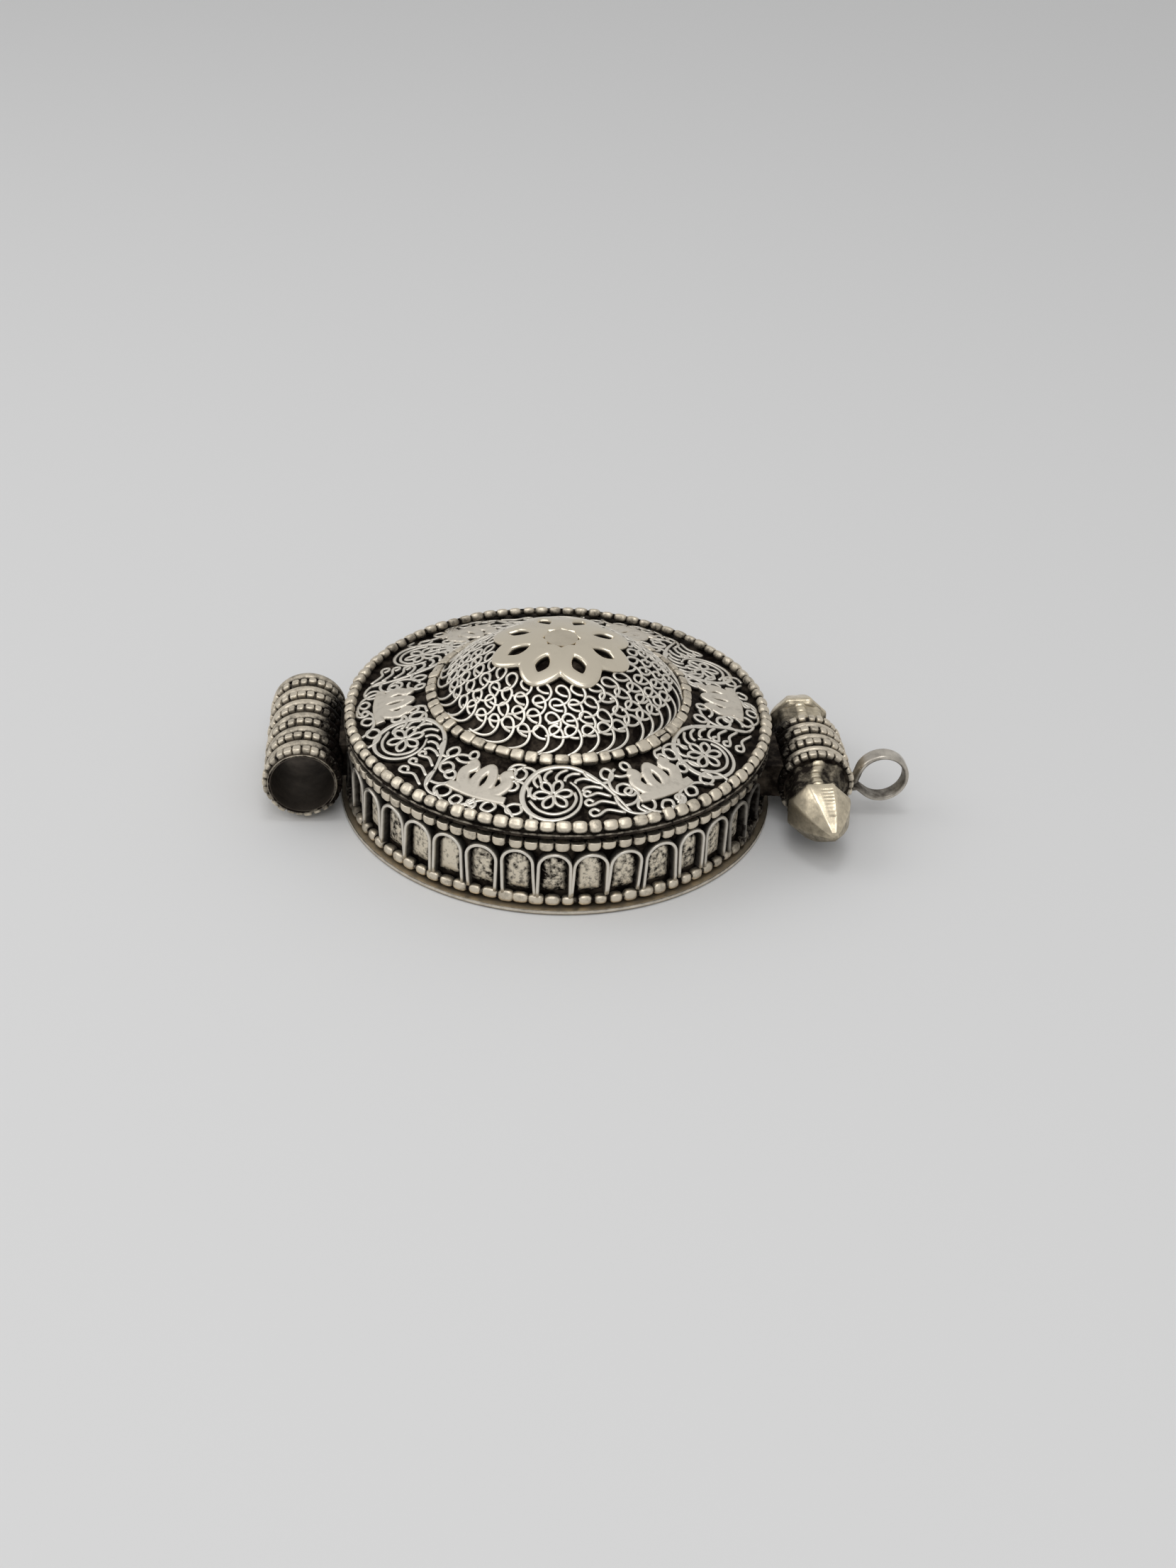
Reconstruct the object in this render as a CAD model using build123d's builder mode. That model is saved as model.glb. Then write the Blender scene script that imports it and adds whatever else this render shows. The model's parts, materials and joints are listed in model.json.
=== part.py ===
"""Round ghau amulet box: a domed filigree box on a plain back cover that pulls off.

Frame: the flat back of the cover lies on Z = 0 and is centred on the origin, +Z is out through the dome,
-X carries the cord tube and +X the finial with its pendant eye. Millimetres throughout.
"""

import os
from math import asin, atan2, cos, degrees, pi, radians, sin, tan

from build123d import *

# Clearances
SEAT_GAP = 0.03  # solder film between a soldered piece and what it lies on
COVER_CLEARANCE = 0.08  # radial slide fit of the back collar in the wall

# Back cover
PLATE_RADIUS = 30.7
PLATE_THICKNESS = 0.5
COLLAR_HEIGHT = 5.0
COLLAR_THICKNESS = 0.6

# Wall band
WALL_RADIUS = 28.6
WALL_THICKNESS = 0.7
WALL_HEIGHT = 11.1

# Face sheet
SHEET_THICKNESS = 0.6
LIP_OVERHANG = 1.4  # lip past the wall
CONE_RISE = 3.1
DOME_FOOT_RADIUS = 17.2
DOME_RISE = 8.5

# Beaded wire of the box
BEAD_RADIUS = 0.74
BEAD_PITCH = 2.1
BEAD_NECK = 0.42  # neck radius over bead radius
BEAD_FLAT = 0.45  # full-width share of a bead's length
DOME_BEAD_OFFSET = 0.65  # dome bead wire outside the foot of the dome
UPPER_ROW_DROP = 1.25  # upper wall bead row below the lip
LOWER_ROW_RISE = 0.95  # lower wall bead row above the plate

# Arches and petals on the wall
ARCH_PITCH = 4.75
ARCH_STRIP = 0.5
ARCH_DEPTH = 1.25
ARCH_SIDE_GAP = 0.16  # between the strips of neighbouring arches
ARCH_TOP_GAP = 0.4  # between arches and the upper bead row
ARCH_FOOT_GAP = 0.12  # between arches and the lower bead row
PETAL_MARGIN = 0.35  # between petal and arch strip
PETAL_THICKNESS = 0.5
PETAL_EDGE_RADIUS = 0.35

# Cord tube and finial
LEAN = 4.0  # both lie this many degrees off the tangent of the wall

# Cord tube
BAIL_BORE_RADIUS = 4.4
BAIL_WALL = 0.4
BAIL_LENGTH = 22.0
BAIL_RING_PAIRS = 6
BAIL_STANDOFF = 1.7  # between its rings and the wall

# Finial
FINIAL_RADIUS = 4.65
FINIAL_TUBE_WALL = 0.6
FINIAL_LENGTH = 11.0
FINIAL_BEAD_RINGS = 4
FINIAL_STANDOFF = 2.3  # between its rings and the wall
FINIAL_Y = -1.3  # its middle lies a little to the front
NECK_LENGTH = 5.3
NECK_RADIUS = 4.15
NECK_WAIST = 0.3  # how deep the neck is drawn in
FRONT_BUD_RADIUS = 4.9
FRONT_BUD_ASIDE = -1.1  # front neck and bud off the axis
FRONT_BUD_BEND = 1.5  # tip of the front bud aside from its base
REAR_BUD_RADIUS = 4.5
BUD_LENGTH = 7.4
BUD_SIDES = 8
BUD_TURN = 21.0  # first corner of a bud above the horizon
BUD_SECTIONS = ((0.0, 0.9), (0.12, 1.0), (0.45, 0.85), (0.78, 0.52), (1.0, 0.18))  # of length, of radius

# Rings round the cord tube and the finial
RING_BEAD_RADIUS = 0.75
RING_BEAD_PITCH = 1.45
RING_BEAD_SINK = 0.1  # bead centres below the surface that they ring
RING_SIDE_GAP = 0.06
PLAIN_RING_HEIGHT = 0.5

# Saddles
SADDLE_WIDTH = 9.0
SADDLE_HEIGHT = 5.0

# Pendant eye
EYE_RADIUS = 3.1
EYE_STRAP = 0.6
EYE_WIDTH = 1.8
EYE_REACH = 4.5  # eye centre past the finial rings
EYE_FOOT = 0.25  # half the opening between the strap ends
EYE_POINT = 0.55  # eye out of round where the strap ends meet
EYE_OFFSET = -2.5  # along the finial, towards its front

# Filigree
SCROLL_WIRE = 0.22
FRAME_WIRE = 0.3
RING_UNITS = 6
UNIT_ANGLE = 360 / RING_UNITS
FRONT_ANGLE = -90.0
FACE_TURN = 4.8  # filigree repeats past the front
FRAME_HEAD_RADIUS = 3.55
FRAME_HEAD_SHIFT = 2.6  # head of a scroll frame ahead of the unit's middle
FRAME_HEAD_ARC = 205.0
FRAME_TAIL_RADIUS = 8.2
FRAME_TAIL_ARC = 72.0
FLOWER_PETALS = 6
FLOWER_RADIUS = 1.3
FLOWER_GAP = 0.06
RIB_RADIUS = 1.9
RIB_ARC = 62.0
RIB_PLACES = ((3.1, -1.0, 118.0), (4.2, -1.9, 108.0), (5.3, -3.0, 98.0))
FILLER_PLACES = ((6.9, -2.9), (7.1, -0.2), (6.9, 2.5), (17.1, -3.2), (17.1, 2.6))  # along and up the cone
CURL_ROWS = 3
CURL_ROW_STEP = 2.4  # between rows, and from the foot of the dome to the first
CURL_PITCH = 2.75
CURL_RADIUS = 0.55
CURL_ARC = 265.0
CURL_TAIL_RADIUS = 1.6
CURL_TAIL_ARC = 62.0

# Pierced plates
PLATE_SHEET = 0.55
CENTRE_LOBES = 8
CENTRE_GAP = 2.1  # between the plate and the middle of the last row of curls
CENTRE_CORE = 5.5
CENTRE_LOBE_RADIUS = 3.1
CENTRE_SLOT = 1.05
CENTRE_BOSS = 2.3
RING_PLATE_WIDTH = 7.6
RING_PLATE_HEIGHT = 7.0
RING_PLATE_LOBE = 1.9
RING_PLATE_SLOT = 0.55
SLOT_LENGTH = 3.0  # slots of the plates, over their width
BOSS_RISE = 0.3  # boss above the centre plate

# Derived
WALL_FOOT = PLATE_THICKNESS
WALL_TOP = WALL_FOOT + WALL_HEIGHT
WALL_INNER = WALL_RADIUS - WALL_THICKNESS
MID_WALL = WALL_FOOT + WALL_HEIGHT / 2
COLLAR_RADIUS = WALL_INNER - COVER_CLEARANCE
LIP_RADIUS = WALL_RADIUS + LIP_OVERHANG
LIP_TOP = WALL_TOP + SHEET_THICKNESS
DOME_FOOT = LIP_TOP + CONE_RISE
DOME_APEX = DOME_FOOT + DOME_RISE
DOME_SPHERE = (DOME_FOOT_RADIUS**2 + DOME_RISE**2) / (2 * DOME_RISE)
DOME_CENTRE = DOME_APEX - DOME_SPHERE
DOME_FOOT_POLAR = asin(DOME_FOOT_RADIUS / DOME_SPHERE)
CURL_POLARS = [DOME_FOOT_POLAR - (row + 1) * CURL_ROW_STEP / DOME_SPHERE for row in range(CURL_ROWS)]
CENTRE_RADIUS = DOME_SPHERE * sin(CURL_POLARS[-1] - CENTRE_GAP / DOME_SPHERE)
CONE_SLOPE = atan2(CONE_RISE, WALL_INNER - DOME_FOOT_RADIUS)
CONE_MIDDLE = (WALL_INNER + DOME_FOOT_RADIUS + DOME_BEAD_OFFSET + BEAD_RADIUS) / 2
WALL_ROW_RADIUS = WALL_RADIUS + SEAT_GAP + BEAD_RADIUS
UPPER_ROW = WALL_TOP - UPPER_ROW_DROP
LOWER_ROW = WALL_FOOT + LOWER_ROW_RISE
BAIL_RADIUS = BAIL_BORE_RADIUS + BAIL_WALL
BAIL_REACH = BAIL_RADIUS + RING_BEAD_RADIUS - RING_BEAD_SINK
BAIL_X = -(WALL_RADIUS + BAIL_STANDOFF + BAIL_REACH)
FINIAL_REACH = FINIAL_RADIUS + RING_BEAD_RADIUS - RING_BEAD_SINK
FINIAL_X = WALL_RADIUS + FINIAL_STANDOFF + FINIAL_REACH
BAIL_SPOT = (BAIL_X, 0)
FINIAL_SPOT = (FINIAL_X, FINIAL_Y)
FINIAL_RINGS = ("bead", "plain") * (FINIAL_BEAD_RINGS - 1) + ("bead",)

os.makedirs("parts", exist_ok=True)


def save(piece, name):
    """Label a finished piece and write it."""
    piece.label = name
    export_step(piece, f"parts/{name}.step")


def cone_height(radius):
    """Top of the cone of the face sheet at a radius."""
    return DOME_FOOT - (radius - DOME_FOOT_RADIUS) * tan(CONE_SLOPE)


def cone_plane(angle, radius, lift):
    """Plane on the cone: x along the ring, y up the cone, z out of the face."""
    turn = radians(angle)
    out = Vector(cos(turn), sin(turn), 0)
    normal = out * sin(CONE_SLOPE) + Vector(0, 0, cos(CONE_SLOPE))
    foot = out * radius + Vector(0, 0, cone_height(radius))
    return Plane(origin=foot + normal * lift, x_dir=Vector(-sin(turn), cos(turn), 0), z_dir=normal)


def dome_plane(angle, polar, lift):
    """Plane on the dome at an angle round it, in degrees, and a polar angle from its apex, in radians."""
    turn = radians(angle)
    normal = Vector(cos(turn) * sin(polar), sin(turn) * sin(polar), cos(polar))
    foot = Vector(0, 0, DOME_CENTRE) + normal * (DOME_SPHERE + lift)
    return Plane(origin=foot, x_dir=Vector(-sin(turn), cos(turn), 0), z_dir=normal)


def wall_plane(angle, lift):
    """Plane that touches the wall: x along it, y up, z out."""
    turn = radians(angle)
    out = Vector(cos(turn), sin(turn), 0)
    return Plane(origin=out * (WALL_RADIUS + lift), x_dir=Vector(-sin(turn), cos(turn), 0), z_dir=out)


def cross_plane(spot, along=0.0, across=0.0):
    """Plane across the cord tube or the finial, its z towards the front, moved along and across its axis."""
    turn = radians(LEAN)
    right = Vector(cos(turn), sin(turn), 0)
    rear = Vector(-sin(turn), cos(turn), 0)
    middle = Vector(*spot, MID_WALL) + rear * along + right * across
    return Plane(origin=middle, x_dir=right, z_dir=-rear)


def beaded_ring(radius, bead_radius, pitch, core=0.0):
    """Closed ring of beaded wire round Z in one piece, flattened on a core if it has one."""
    count = round(2 * pi * radius / pitch)
    half_angle = 180 / count
    neck = bead_radius * BEAD_NECK
    half_flat = BEAD_FLAT * radius * tan(radians(half_angle))
    half_blank = (radius + bead_radius) * tan(radians(half_angle))
    with BuildPart() as bead:
        with BuildSketch(Plane.XY):
            with BuildLine():
                Polyline(
                    (radius, -half_blank),
                    (radius + neck, -half_blank),
                    (radius + bead_radius, -half_flat),
                    (radius + bead_radius, half_flat),
                    (radius + neck, half_blank),
                    (radius, half_blank),
                    close=True,
                )
            make_face()
        revolve(axis=Axis((radius, 0, 0), (0, 1, 0)))
        split(bisect_by=Plane.XZ.rotated((0, 0, half_angle)), keep=Keep.TOP)
        split(bisect_by=Plane.XZ.rotated((0, 0, -half_angle)), keep=Keep.BOTTOM)
        if core:
            Cylinder(core, 4 * bead_radius, mode=Mode.SUBTRACT)
    with BuildPart() as ring:
        with PolarLocations(0, count):
            add(bead.part)
    return ring.part


def placed(piece, plane):
    """A piece built at the origin, set on a plane."""
    with BuildPart() as moved:
        with Locations(plane.location):
            add(piece)
    return moved.part


def on_planes(piece, planes):
    """Copies of a piece, one on each plane."""
    with BuildPart() as copies:
        with Locations(*[plane.location for plane in planes]):
            add(piece)
    return copies.part


def plain_band(core_radius, width):
    """Half-round wire ring round Z."""
    inner = core_radius + SEAT_GAP
    with BuildPart() as band:
        with BuildSketch(Plane.XZ):
            with BuildLine():
                ThreePointArc(
                    (inner, -width / 2), (inner + PLAIN_RING_HEIGHT, 0), (inner, width / 2)
                )
                Line((inner, width / 2), (inner, -width / 2))
            make_face()
        revolve(axis=Axis.Z)
    return band.part


def ringed(name, spot, core_radius, length, kinds):
    """Wire rings side by side along a tube, each saved as its own piece."""
    slot = length / len(kinds)
    width = 2 * slot - 2 * RING_BEAD_RADIUS - 2 * RING_SIDE_GAP
    middle = core_radius - RING_BEAD_SINK
    beads = beaded_ring(middle, RING_BEAD_RADIUS, RING_BEAD_PITCH, core_radius + SEAT_GAP)
    plain = plain_band(core_radius, width)
    for place, kind in enumerate(kinds):
        y = (place + 0.5) * slot - length / 2
        ring = beads if kind == "bead" else plain
        save(placed(ring, cross_plane(spot, y)), f"{name}_{kind}_ring_{place + 1}")


def saddle(spot, reach):
    """Block between the wall and the rings of a tube, hollowed to both."""
    x, y = spot
    foot = WALL_RADIUS if x > 0 else -WALL_RADIUS
    with BuildPart() as block:
        with Locations((foot, y, MID_WALL)):
            Box(2 * abs(x - foot), SADDLE_WIDTH, SADDLE_HEIGHT)
        Cylinder(WALL_RADIUS + SEAT_GAP, 2 * LIP_TOP, mode=Mode.SUBTRACT)
        with Locations(cross_plane(spot).location):
            Cylinder(reach + SEAT_GAP, 2 * SADDLE_WIDTH, mode=Mode.SUBTRACT)
    return block.part


def back_plate():
    """Plain round sheet, its top edge eased."""
    with BuildPart() as plate:
        Cylinder(PLATE_RADIUS, PLATE_THICKNESS, align=(Align.CENTER, Align.CENTER, Align.MIN))
        fillet(plate.edges().group_by(Axis.Z)[-1], PLATE_THICKNESS / 3)
    return plate.part


def ring_wall(outer, thickness, foot, height):
    """Plain upright band."""
    with BuildPart() as band:
        with BuildSketch(Plane.XY.offset(foot)):
            Circle(outer)
            Circle(outer - thickness, mode=Mode.SUBTRACT)
        extrude(amount=height)
    return band.part


def face_sheet():
    """Lip, cone and dome formed from one sheet."""
    half_foot = asin(DOME_FOOT_RADIUS / DOME_SPHERE) / 2
    bend = (DOME_SPHERE * sin(half_foot), DOME_CENTRE + DOME_SPHERE * cos(half_foot))
    under = SHEET_THICKNESS
    with BuildPart() as sheet:
        with BuildSketch(Plane.XZ):
            with BuildLine():
                Line((LIP_RADIUS, WALL_TOP), (LIP_RADIUS, LIP_TOP))
                Line((LIP_RADIUS, LIP_TOP), (WALL_INNER, LIP_TOP))
                Line((WALL_INNER, LIP_TOP), (DOME_FOOT_RADIUS, DOME_FOOT))
                ThreePointArc((DOME_FOOT_RADIUS, DOME_FOOT), bend, (0, DOME_APEX))
                Line((0, DOME_APEX), (0, DOME_APEX - under))
                ThreePointArc(
                    (0, DOME_APEX - under),
                    (bend[0], bend[1] - under),
                    (DOME_FOOT_RADIUS, DOME_FOOT - under),
                )
                Line((DOME_FOOT_RADIUS, DOME_FOOT - under), (WALL_INNER, WALL_TOP))
                Line((WALL_INNER, WALL_TOP), (LIP_RADIUS, WALL_TOP))
            make_face()
        revolve(axis=Axis.Z)
    return sheet.part


def arch_step():
    """Angle from arch to arch, an even number of them round the wall."""
    return 180 / round(pi * WALL_RADIUS / ARCH_PITCH)


def arch_angles():
    """Middles of the arches, without those that the saddles take."""
    step = arch_step()
    clear = WALL_RADIUS * sin(radians(step / 2)) + SADDLE_WIDTH / 2 + SEAT_GAP
    kept = []
    for place in range(round(360 / step)):
        angle = FRONT_ANGLE + step * place
        saddle_y = FINIAL_Y if cos(radians(angle)) > 0 else 0
        if abs(WALL_RADIUS * sin(radians(angle)) - saddle_y) > clear:
            kept.append(angle)
    return kept


def arch_outline(inset):
    """Half width, foot and spring line of an arch outline, set in from its cell by an inset."""
    half = WALL_RADIUS * tan(radians(arch_step() / 2)) - ARCH_SIDE_GAP / 2 - inset
    foot = LOWER_ROW + BEAD_RADIUS + ARCH_FOOT_GAP
    spring = UPPER_ROW - BEAD_RADIUS - ARCH_TOP_GAP - inset - half
    return half, foot, spring


def wall_arches():
    """One strip on edge, bent to a U, per arch."""
    half, foot, spring = arch_outline(ARCH_STRIP / 2)
    with BuildPart() as arch:
        with BuildLine():
            Line((-half, foot), (-half, spring))
            ThreePointArc((-half, spring), (0, spring + half), (half, spring))
            Line((half, spring), (half, foot))
        with BuildSketch(Plane(origin=(-half, foot, 0), x_dir=(1, 0, 0), z_dir=(0, 1, 0))):
            Rectangle(ARCH_STRIP, ARCH_DEPTH)
        sweep()
    return on_planes(arch.part, [wall_plane(a, ARCH_DEPTH / 2 + SEAT_GAP) for a in arch_angles()])


def wall_petals():
    """One embossed tongue inside each arch."""
    half, foot, spring = arch_outline(ARCH_STRIP + PETAL_MARGIN)
    with BuildPart() as petal:
        with BuildSketch():
            with BuildLine():
                Line((half, foot), (half, spring))
                ThreePointArc((half, spring), (0, spring + half), (-half, spring))
                Line((-half, spring), (-half, foot))
                Line((-half, foot), (half, foot))
            make_face()
        extrude(amount=PETAL_THICKNESS)
        fillet(petal.edges().group_by(Axis.Z)[-1], PETAL_EDGE_RADIUS)
    return on_planes(petal.part, [wall_plane(a, SEAT_GAP) for a in arch_angles()])


def arc_wire(start, heading, wire, arcs):
    """Round wire along tangent arcs, each given as radius and turn in degrees."""
    with BuildPart() as bent:
        with BuildLine():
            here = JernArc(start, heading, *arcs[0])
            for radius, turn in arcs[1:]:
                here = JernArc(here @ 1, here % 1, radius, turn)
        with BuildSketch(Plane(origin=start, z_dir=heading)):
            Circle(wire)
        sweep()
    return bent.part


def curl():
    """Small hook-shaped scroll, its tail at the left and its curl at the top."""
    arcs = ((CURL_TAIL_RADIUS, CURL_TAIL_ARC), (CURL_RADIUS, CURL_ARC))
    return arc_wire((-CURL_TAIL_RADIUS / 2, -CURL_RADIUS), (1, 0, 0), SCROLL_WIRE, arcs)


def unit_angles(shift):
    """Angles of the repeats round the cone."""
    return [FRONT_ANGLE + FACE_TURN + UNIT_ANGLE * (place + shift) for place in range(RING_UNITS)]


def scroll_frames():
    """Comma-shaped frame: round head, then a tail that sweeps down to the rim."""
    begin = radians(90 + FRAME_HEAD_ARC)
    start = (
        FRAME_HEAD_RADIUS * cos(begin) - FRAME_HEAD_SHIFT,
        FRAME_HEAD_RADIUS * sin(begin),
    )
    arcs = ((FRAME_HEAD_RADIUS, -FRAME_HEAD_ARC), (FRAME_TAIL_RADIUS, -FRAME_TAIL_ARC))
    frame = arc_wire(start, (sin(begin), -cos(begin), 0), FRAME_WIRE, arcs)
    lift = FRAME_WIRE + SEAT_GAP
    return on_planes(frame, [cone_plane(a, CONE_MIDDLE, lift) for a in unit_angles(0)])


def frame_flowers():
    """Ring of small wire rings in the head of each frame."""
    ring = FLOWER_RADIUS * sin(pi / FLOWER_PETALS) - SCROLL_WIRE - FLOWER_GAP / 2
    with BuildPart() as flower:
        with Locations((-FRAME_HEAD_SHIFT, 0, 0)):
            with PolarLocations(FLOWER_RADIUS, FLOWER_PETALS):
                Torus(ring, SCROLL_WIRE)
    lift = SCROLL_WIRE + SEAT_GAP
    return on_planes(flower.part, [cone_plane(a, CONE_MIDDLE, lift) for a in unit_angles(0)])


def frame_ribs():
    """Curved ribs that fill the tail of each frame."""
    ribs = []
    for x, y, heading in RIB_PLACES:
        way = (cos(radians(heading)), sin(radians(heading)), 0)
        ribs.append(arc_wire((x - FRAME_HEAD_SHIFT, y), way, SCROLL_WIRE, ((RIB_RADIUS, -RIB_ARC),)))
    with BuildPart() as group:
        add(ribs)
    lift = SCROLL_WIRE + SEAT_GAP
    return on_planes(group.part, [cone_plane(a, CONE_MIDDLE, lift) for a in unit_angles(0)])


def cone_curls():
    """Small scrolls that fill the cone on both sides of the plates."""
    lift = SCROLL_WIRE + SEAT_GAP
    planes = []
    for angle in unit_angles(0):
        for along, up in FILLER_PLACES:
            planes.append(cone_plane(angle + degrees(along / CONE_MIDDLE), CONE_MIDDLE - up, lift))
    return on_planes(curl(), planes)


def dome_curls(polar):
    """One row of hook-shaped scrolls round the dome."""
    lift = SCROLL_WIRE + SEAT_GAP
    count = round(2 * pi * DOME_SPHERE * sin(polar) / CURL_PITCH)
    return on_planes(curl(), [dome_plane(360 * place / count, polar, lift) for place in range(count)])


def centre_plate():
    """Pierced lotus plate, formed to the dome."""
    ring = CENTRE_RADIUS - CENTRE_LOBE_RADIUS
    with BuildPart() as plate:
        with BuildSketch(Plane.XY.offset(DOME_FOOT)):
            Circle(CENTRE_CORE)
            with PolarLocations(ring, CENTRE_LOBES):
                Circle(CENTRE_LOBE_RADIUS)
            with PolarLocations(ring, CENTRE_LOBES):
                SlotOverall(SLOT_LENGTH * CENTRE_SLOT, CENTRE_SLOT, mode=Mode.SUBTRACT)
            with PolarLocations((CENTRE_BOSS + CENTRE_CORE) / 2, CENTRE_LOBES, 180 / CENTRE_LOBES):
                Circle(CENTRE_SLOT / 2, mode=Mode.SUBTRACT)
            Circle(CENTRE_BOSS + CENTRE_SLOT / 2, mode=Mode.SUBTRACT)
        extrude(amount=2 * DOME_RISE)
        with Locations((0, 0, DOME_CENTRE)):
            Sphere(DOME_SPHERE + SEAT_GAP + PLATE_SHEET, mode=Mode.INTERSECT)
            Sphere(DOME_SPHERE + SEAT_GAP, mode=Mode.SUBTRACT)
    return plate.part


def centre_boss():
    """Round boss in the middle of the centre plate."""
    with BuildPart() as boss:
        with BuildSketch(Plane.XY.offset(DOME_FOOT)):
            Circle(CENTRE_BOSS)
        extrude(amount=2 * DOME_RISE)
        with Locations((0, 0, DOME_CENTRE)):
            Sphere(DOME_SPHERE + SEAT_GAP + PLATE_SHEET + BOSS_RISE, mode=Mode.INTERSECT)
            Sphere(DOME_SPHERE + SEAT_GAP, mode=Mode.SUBTRACT)
    return boss.part


def ring_plate():
    """Pierced three-lobed leaf plate."""
    half = RING_PLATE_WIDTH / 2 - RING_PLATE_LOBE
    top = RING_PLATE_HEIGHT / 2 - RING_PLATE_LOBE
    with BuildPart() as plate:
        with BuildSketch():
            with Locations((0, top)):
                Circle(RING_PLATE_LOBE)
            with Locations((-half, -top / 3), (half, -top / 3)):
                Circle(RING_PLATE_LOBE)
            with Locations((0, -top / 3)):
                Rectangle(2 * half, RING_PLATE_LOBE)
            Rectangle(RING_PLATE_LOBE, RING_PLATE_HEIGHT)
            with Locations((0, top)):
                SlotOverall(SLOT_LENGTH * RING_PLATE_SLOT, RING_PLATE_SLOT, rotation=90, mode=Mode.SUBTRACT)
            with Locations((-half, -top / 3), (half, -top / 3)):
                SlotOverall(SLOT_LENGTH * RING_PLATE_SLOT, RING_PLATE_SLOT, mode=Mode.SUBTRACT)
        extrude(amount=PLATE_SHEET)
    return plate.part


def bail_tube():
    """Plain tube for the cord."""
    with BuildPart() as tube:
        with BuildSketch(cross_plane(BAIL_SPOT)):
            Circle(BAIL_RADIUS)
            Circle(BAIL_BORE_RADIUS, mode=Mode.SUBTRACT)
        extrude(amount=BAIL_LENGTH / 2, both=True)
    return tube.part


def finial_tube():
    """Tube that carries the rings of the finial."""
    with BuildPart() as tube:
        with BuildSketch(cross_plane(FINIAL_SPOT)):
            Circle(FINIAL_RADIUS)
            Circle(FINIAL_RADIUS - FINIAL_TUBE_WALL, mode=Mode.SUBTRACT)
        extrude(amount=FINIAL_LENGTH / 2, both=True)
    return tube.part


def finial_neck(bud_radius):
    """Neck with a shallow waist, built along Z from the end of the tube."""
    shoulder = BUD_SECTIONS[0][1] * bud_radius
    waist = min(NECK_RADIUS, shoulder) - NECK_WAIST
    with BuildPart() as neck:
        with BuildSketch(Plane.XZ):
            with BuildLine():
                Line((0, 0), (NECK_RADIUS, 0))
                ThreePointArc((NECK_RADIUS, 0), (waist, NECK_LENGTH / 2), (shoulder, NECK_LENGTH))
                Line((shoulder, NECK_LENGTH), (0, NECK_LENGTH))
                Line((0, NECK_LENGTH), (0, 0))
            make_face()
        revolve(axis=Axis.Z)
    return neck.part


def finial_bud(bud_radius, bend):
    """Faceted bud, built along Z from the end of the neck, its tip bent aside."""
    with BuildPart() as bud:
        for share, size in BUD_SECTIONS:
            with BuildSketch(Plane.XY.offset(share * BUD_LENGTH)):
                with Locations((share * bend, 0)):
                    RegularPolygon(size * bud_radius, BUD_SIDES, rotation=BUD_TURN)
        loft()
    return bud.part


def end_plane(side, past, aside):
    """Plane at an end of the finial, its z outwards: side is -1 at the front and 1 at the rear."""
    here = cross_plane(FINIAL_SPOT, side * (FINIAL_LENGTH / 2 + past), aside)
    return Plane(origin=here.origin, x_dir=here.x_dir, z_dir=here.z_dir * -side)


def eye_strap():
    """Strap bent into an eye, its ends soldered to each other and to the finial rings."""
    eye_plane = cross_plane(FINIAL_SPOT, EYE_OFFSET, FINIAL_REACH + EYE_REACH)
    with BuildPart() as strap:
        with BuildSketch(eye_plane):
            Circle(EYE_RADIUS + EYE_STRAP)
            with Locations((-EYE_REACH, 0)):
                Rectangle(EYE_STRAP / 2, 2 * (EYE_FOOT + EYE_STRAP))
            make_hull()
        extrude(amount=EYE_WIDTH / 2, both=True)
        with BuildSketch(eye_plane):
            Circle(EYE_RADIUS)
            with Locations((-EYE_RADIUS - EYE_POINT, 0)):
                Rectangle(EYE_STRAP / 2, 2 * EYE_FOOT)
            make_hull()
        extrude(amount=EYE_WIDTH, both=True, mode=Mode.SUBTRACT)
        with Locations(cross_plane(FINIAL_SPOT).location):
            Cylinder(FINIAL_REACH + SEAT_GAP, 2 * FINIAL_LENGTH, mode=Mode.SUBTRACT)
    return strap.part


# Back cover
save(back_plate(), "back_plate")
save(ring_wall(COLLAR_RADIUS, COLLAR_THICKNESS, WALL_FOOT, COLLAR_HEIGHT), "back_collar")

# Box
save(ring_wall(WALL_RADIUS, WALL_THICKNESS, WALL_FOOT, WALL_HEIGHT), "wall_band")
save(face_sheet(), "face_sheet")
wall_beads = beaded_ring(WALL_ROW_RADIUS, BEAD_RADIUS, BEAD_PITCH)
save(placed(wall_beads, Plane.XY.offset(UPPER_ROW)), "wall_upper_bead_wire")
save(placed(wall_beads, Plane.XY.offset(LOWER_ROW)), "wall_lower_bead_wire")
rim_beads = beaded_ring(LIP_RADIUS - BEAD_RADIUS, BEAD_RADIUS, BEAD_PITCH)
save(placed(rim_beads, Plane.XY.offset(LIP_TOP + SEAT_GAP + BEAD_RADIUS)), "rim_bead_wire")
dome_row_radius = DOME_FOOT_RADIUS + DOME_BEAD_OFFSET
dome_row = cone_height(dome_row_radius) + (SEAT_GAP + BEAD_RADIUS) / cos(CONE_SLOPE)
dome_beads = beaded_ring(dome_row_radius, BEAD_RADIUS, BEAD_PITCH)
save(placed(dome_beads, Plane.XY.offset(dome_row)), "dome_bead_wire")
save(wall_arches(), "wall_arches")
save(wall_petals(), "wall_petals")

# Filigree and plates of the face
save(scroll_frames(), "scroll_frames")
save(frame_flowers(), "frame_flowers")
save(frame_ribs(), "frame_ribs")
save(cone_curls(), "cone_curls")
for row, polar in enumerate(CURL_POLARS):
    save(dome_curls(polar), f"dome_curls_{row + 1}")
save(centre_plate(), "centre_plate")
save(centre_boss(), "centre_boss")
leaf = ring_plate()
for place, angle in enumerate(unit_angles(0.5)):
    save(placed(leaf, cone_plane(angle, CONE_MIDDLE, SEAT_GAP)), f"ring_plate_{place + 1}")

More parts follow.
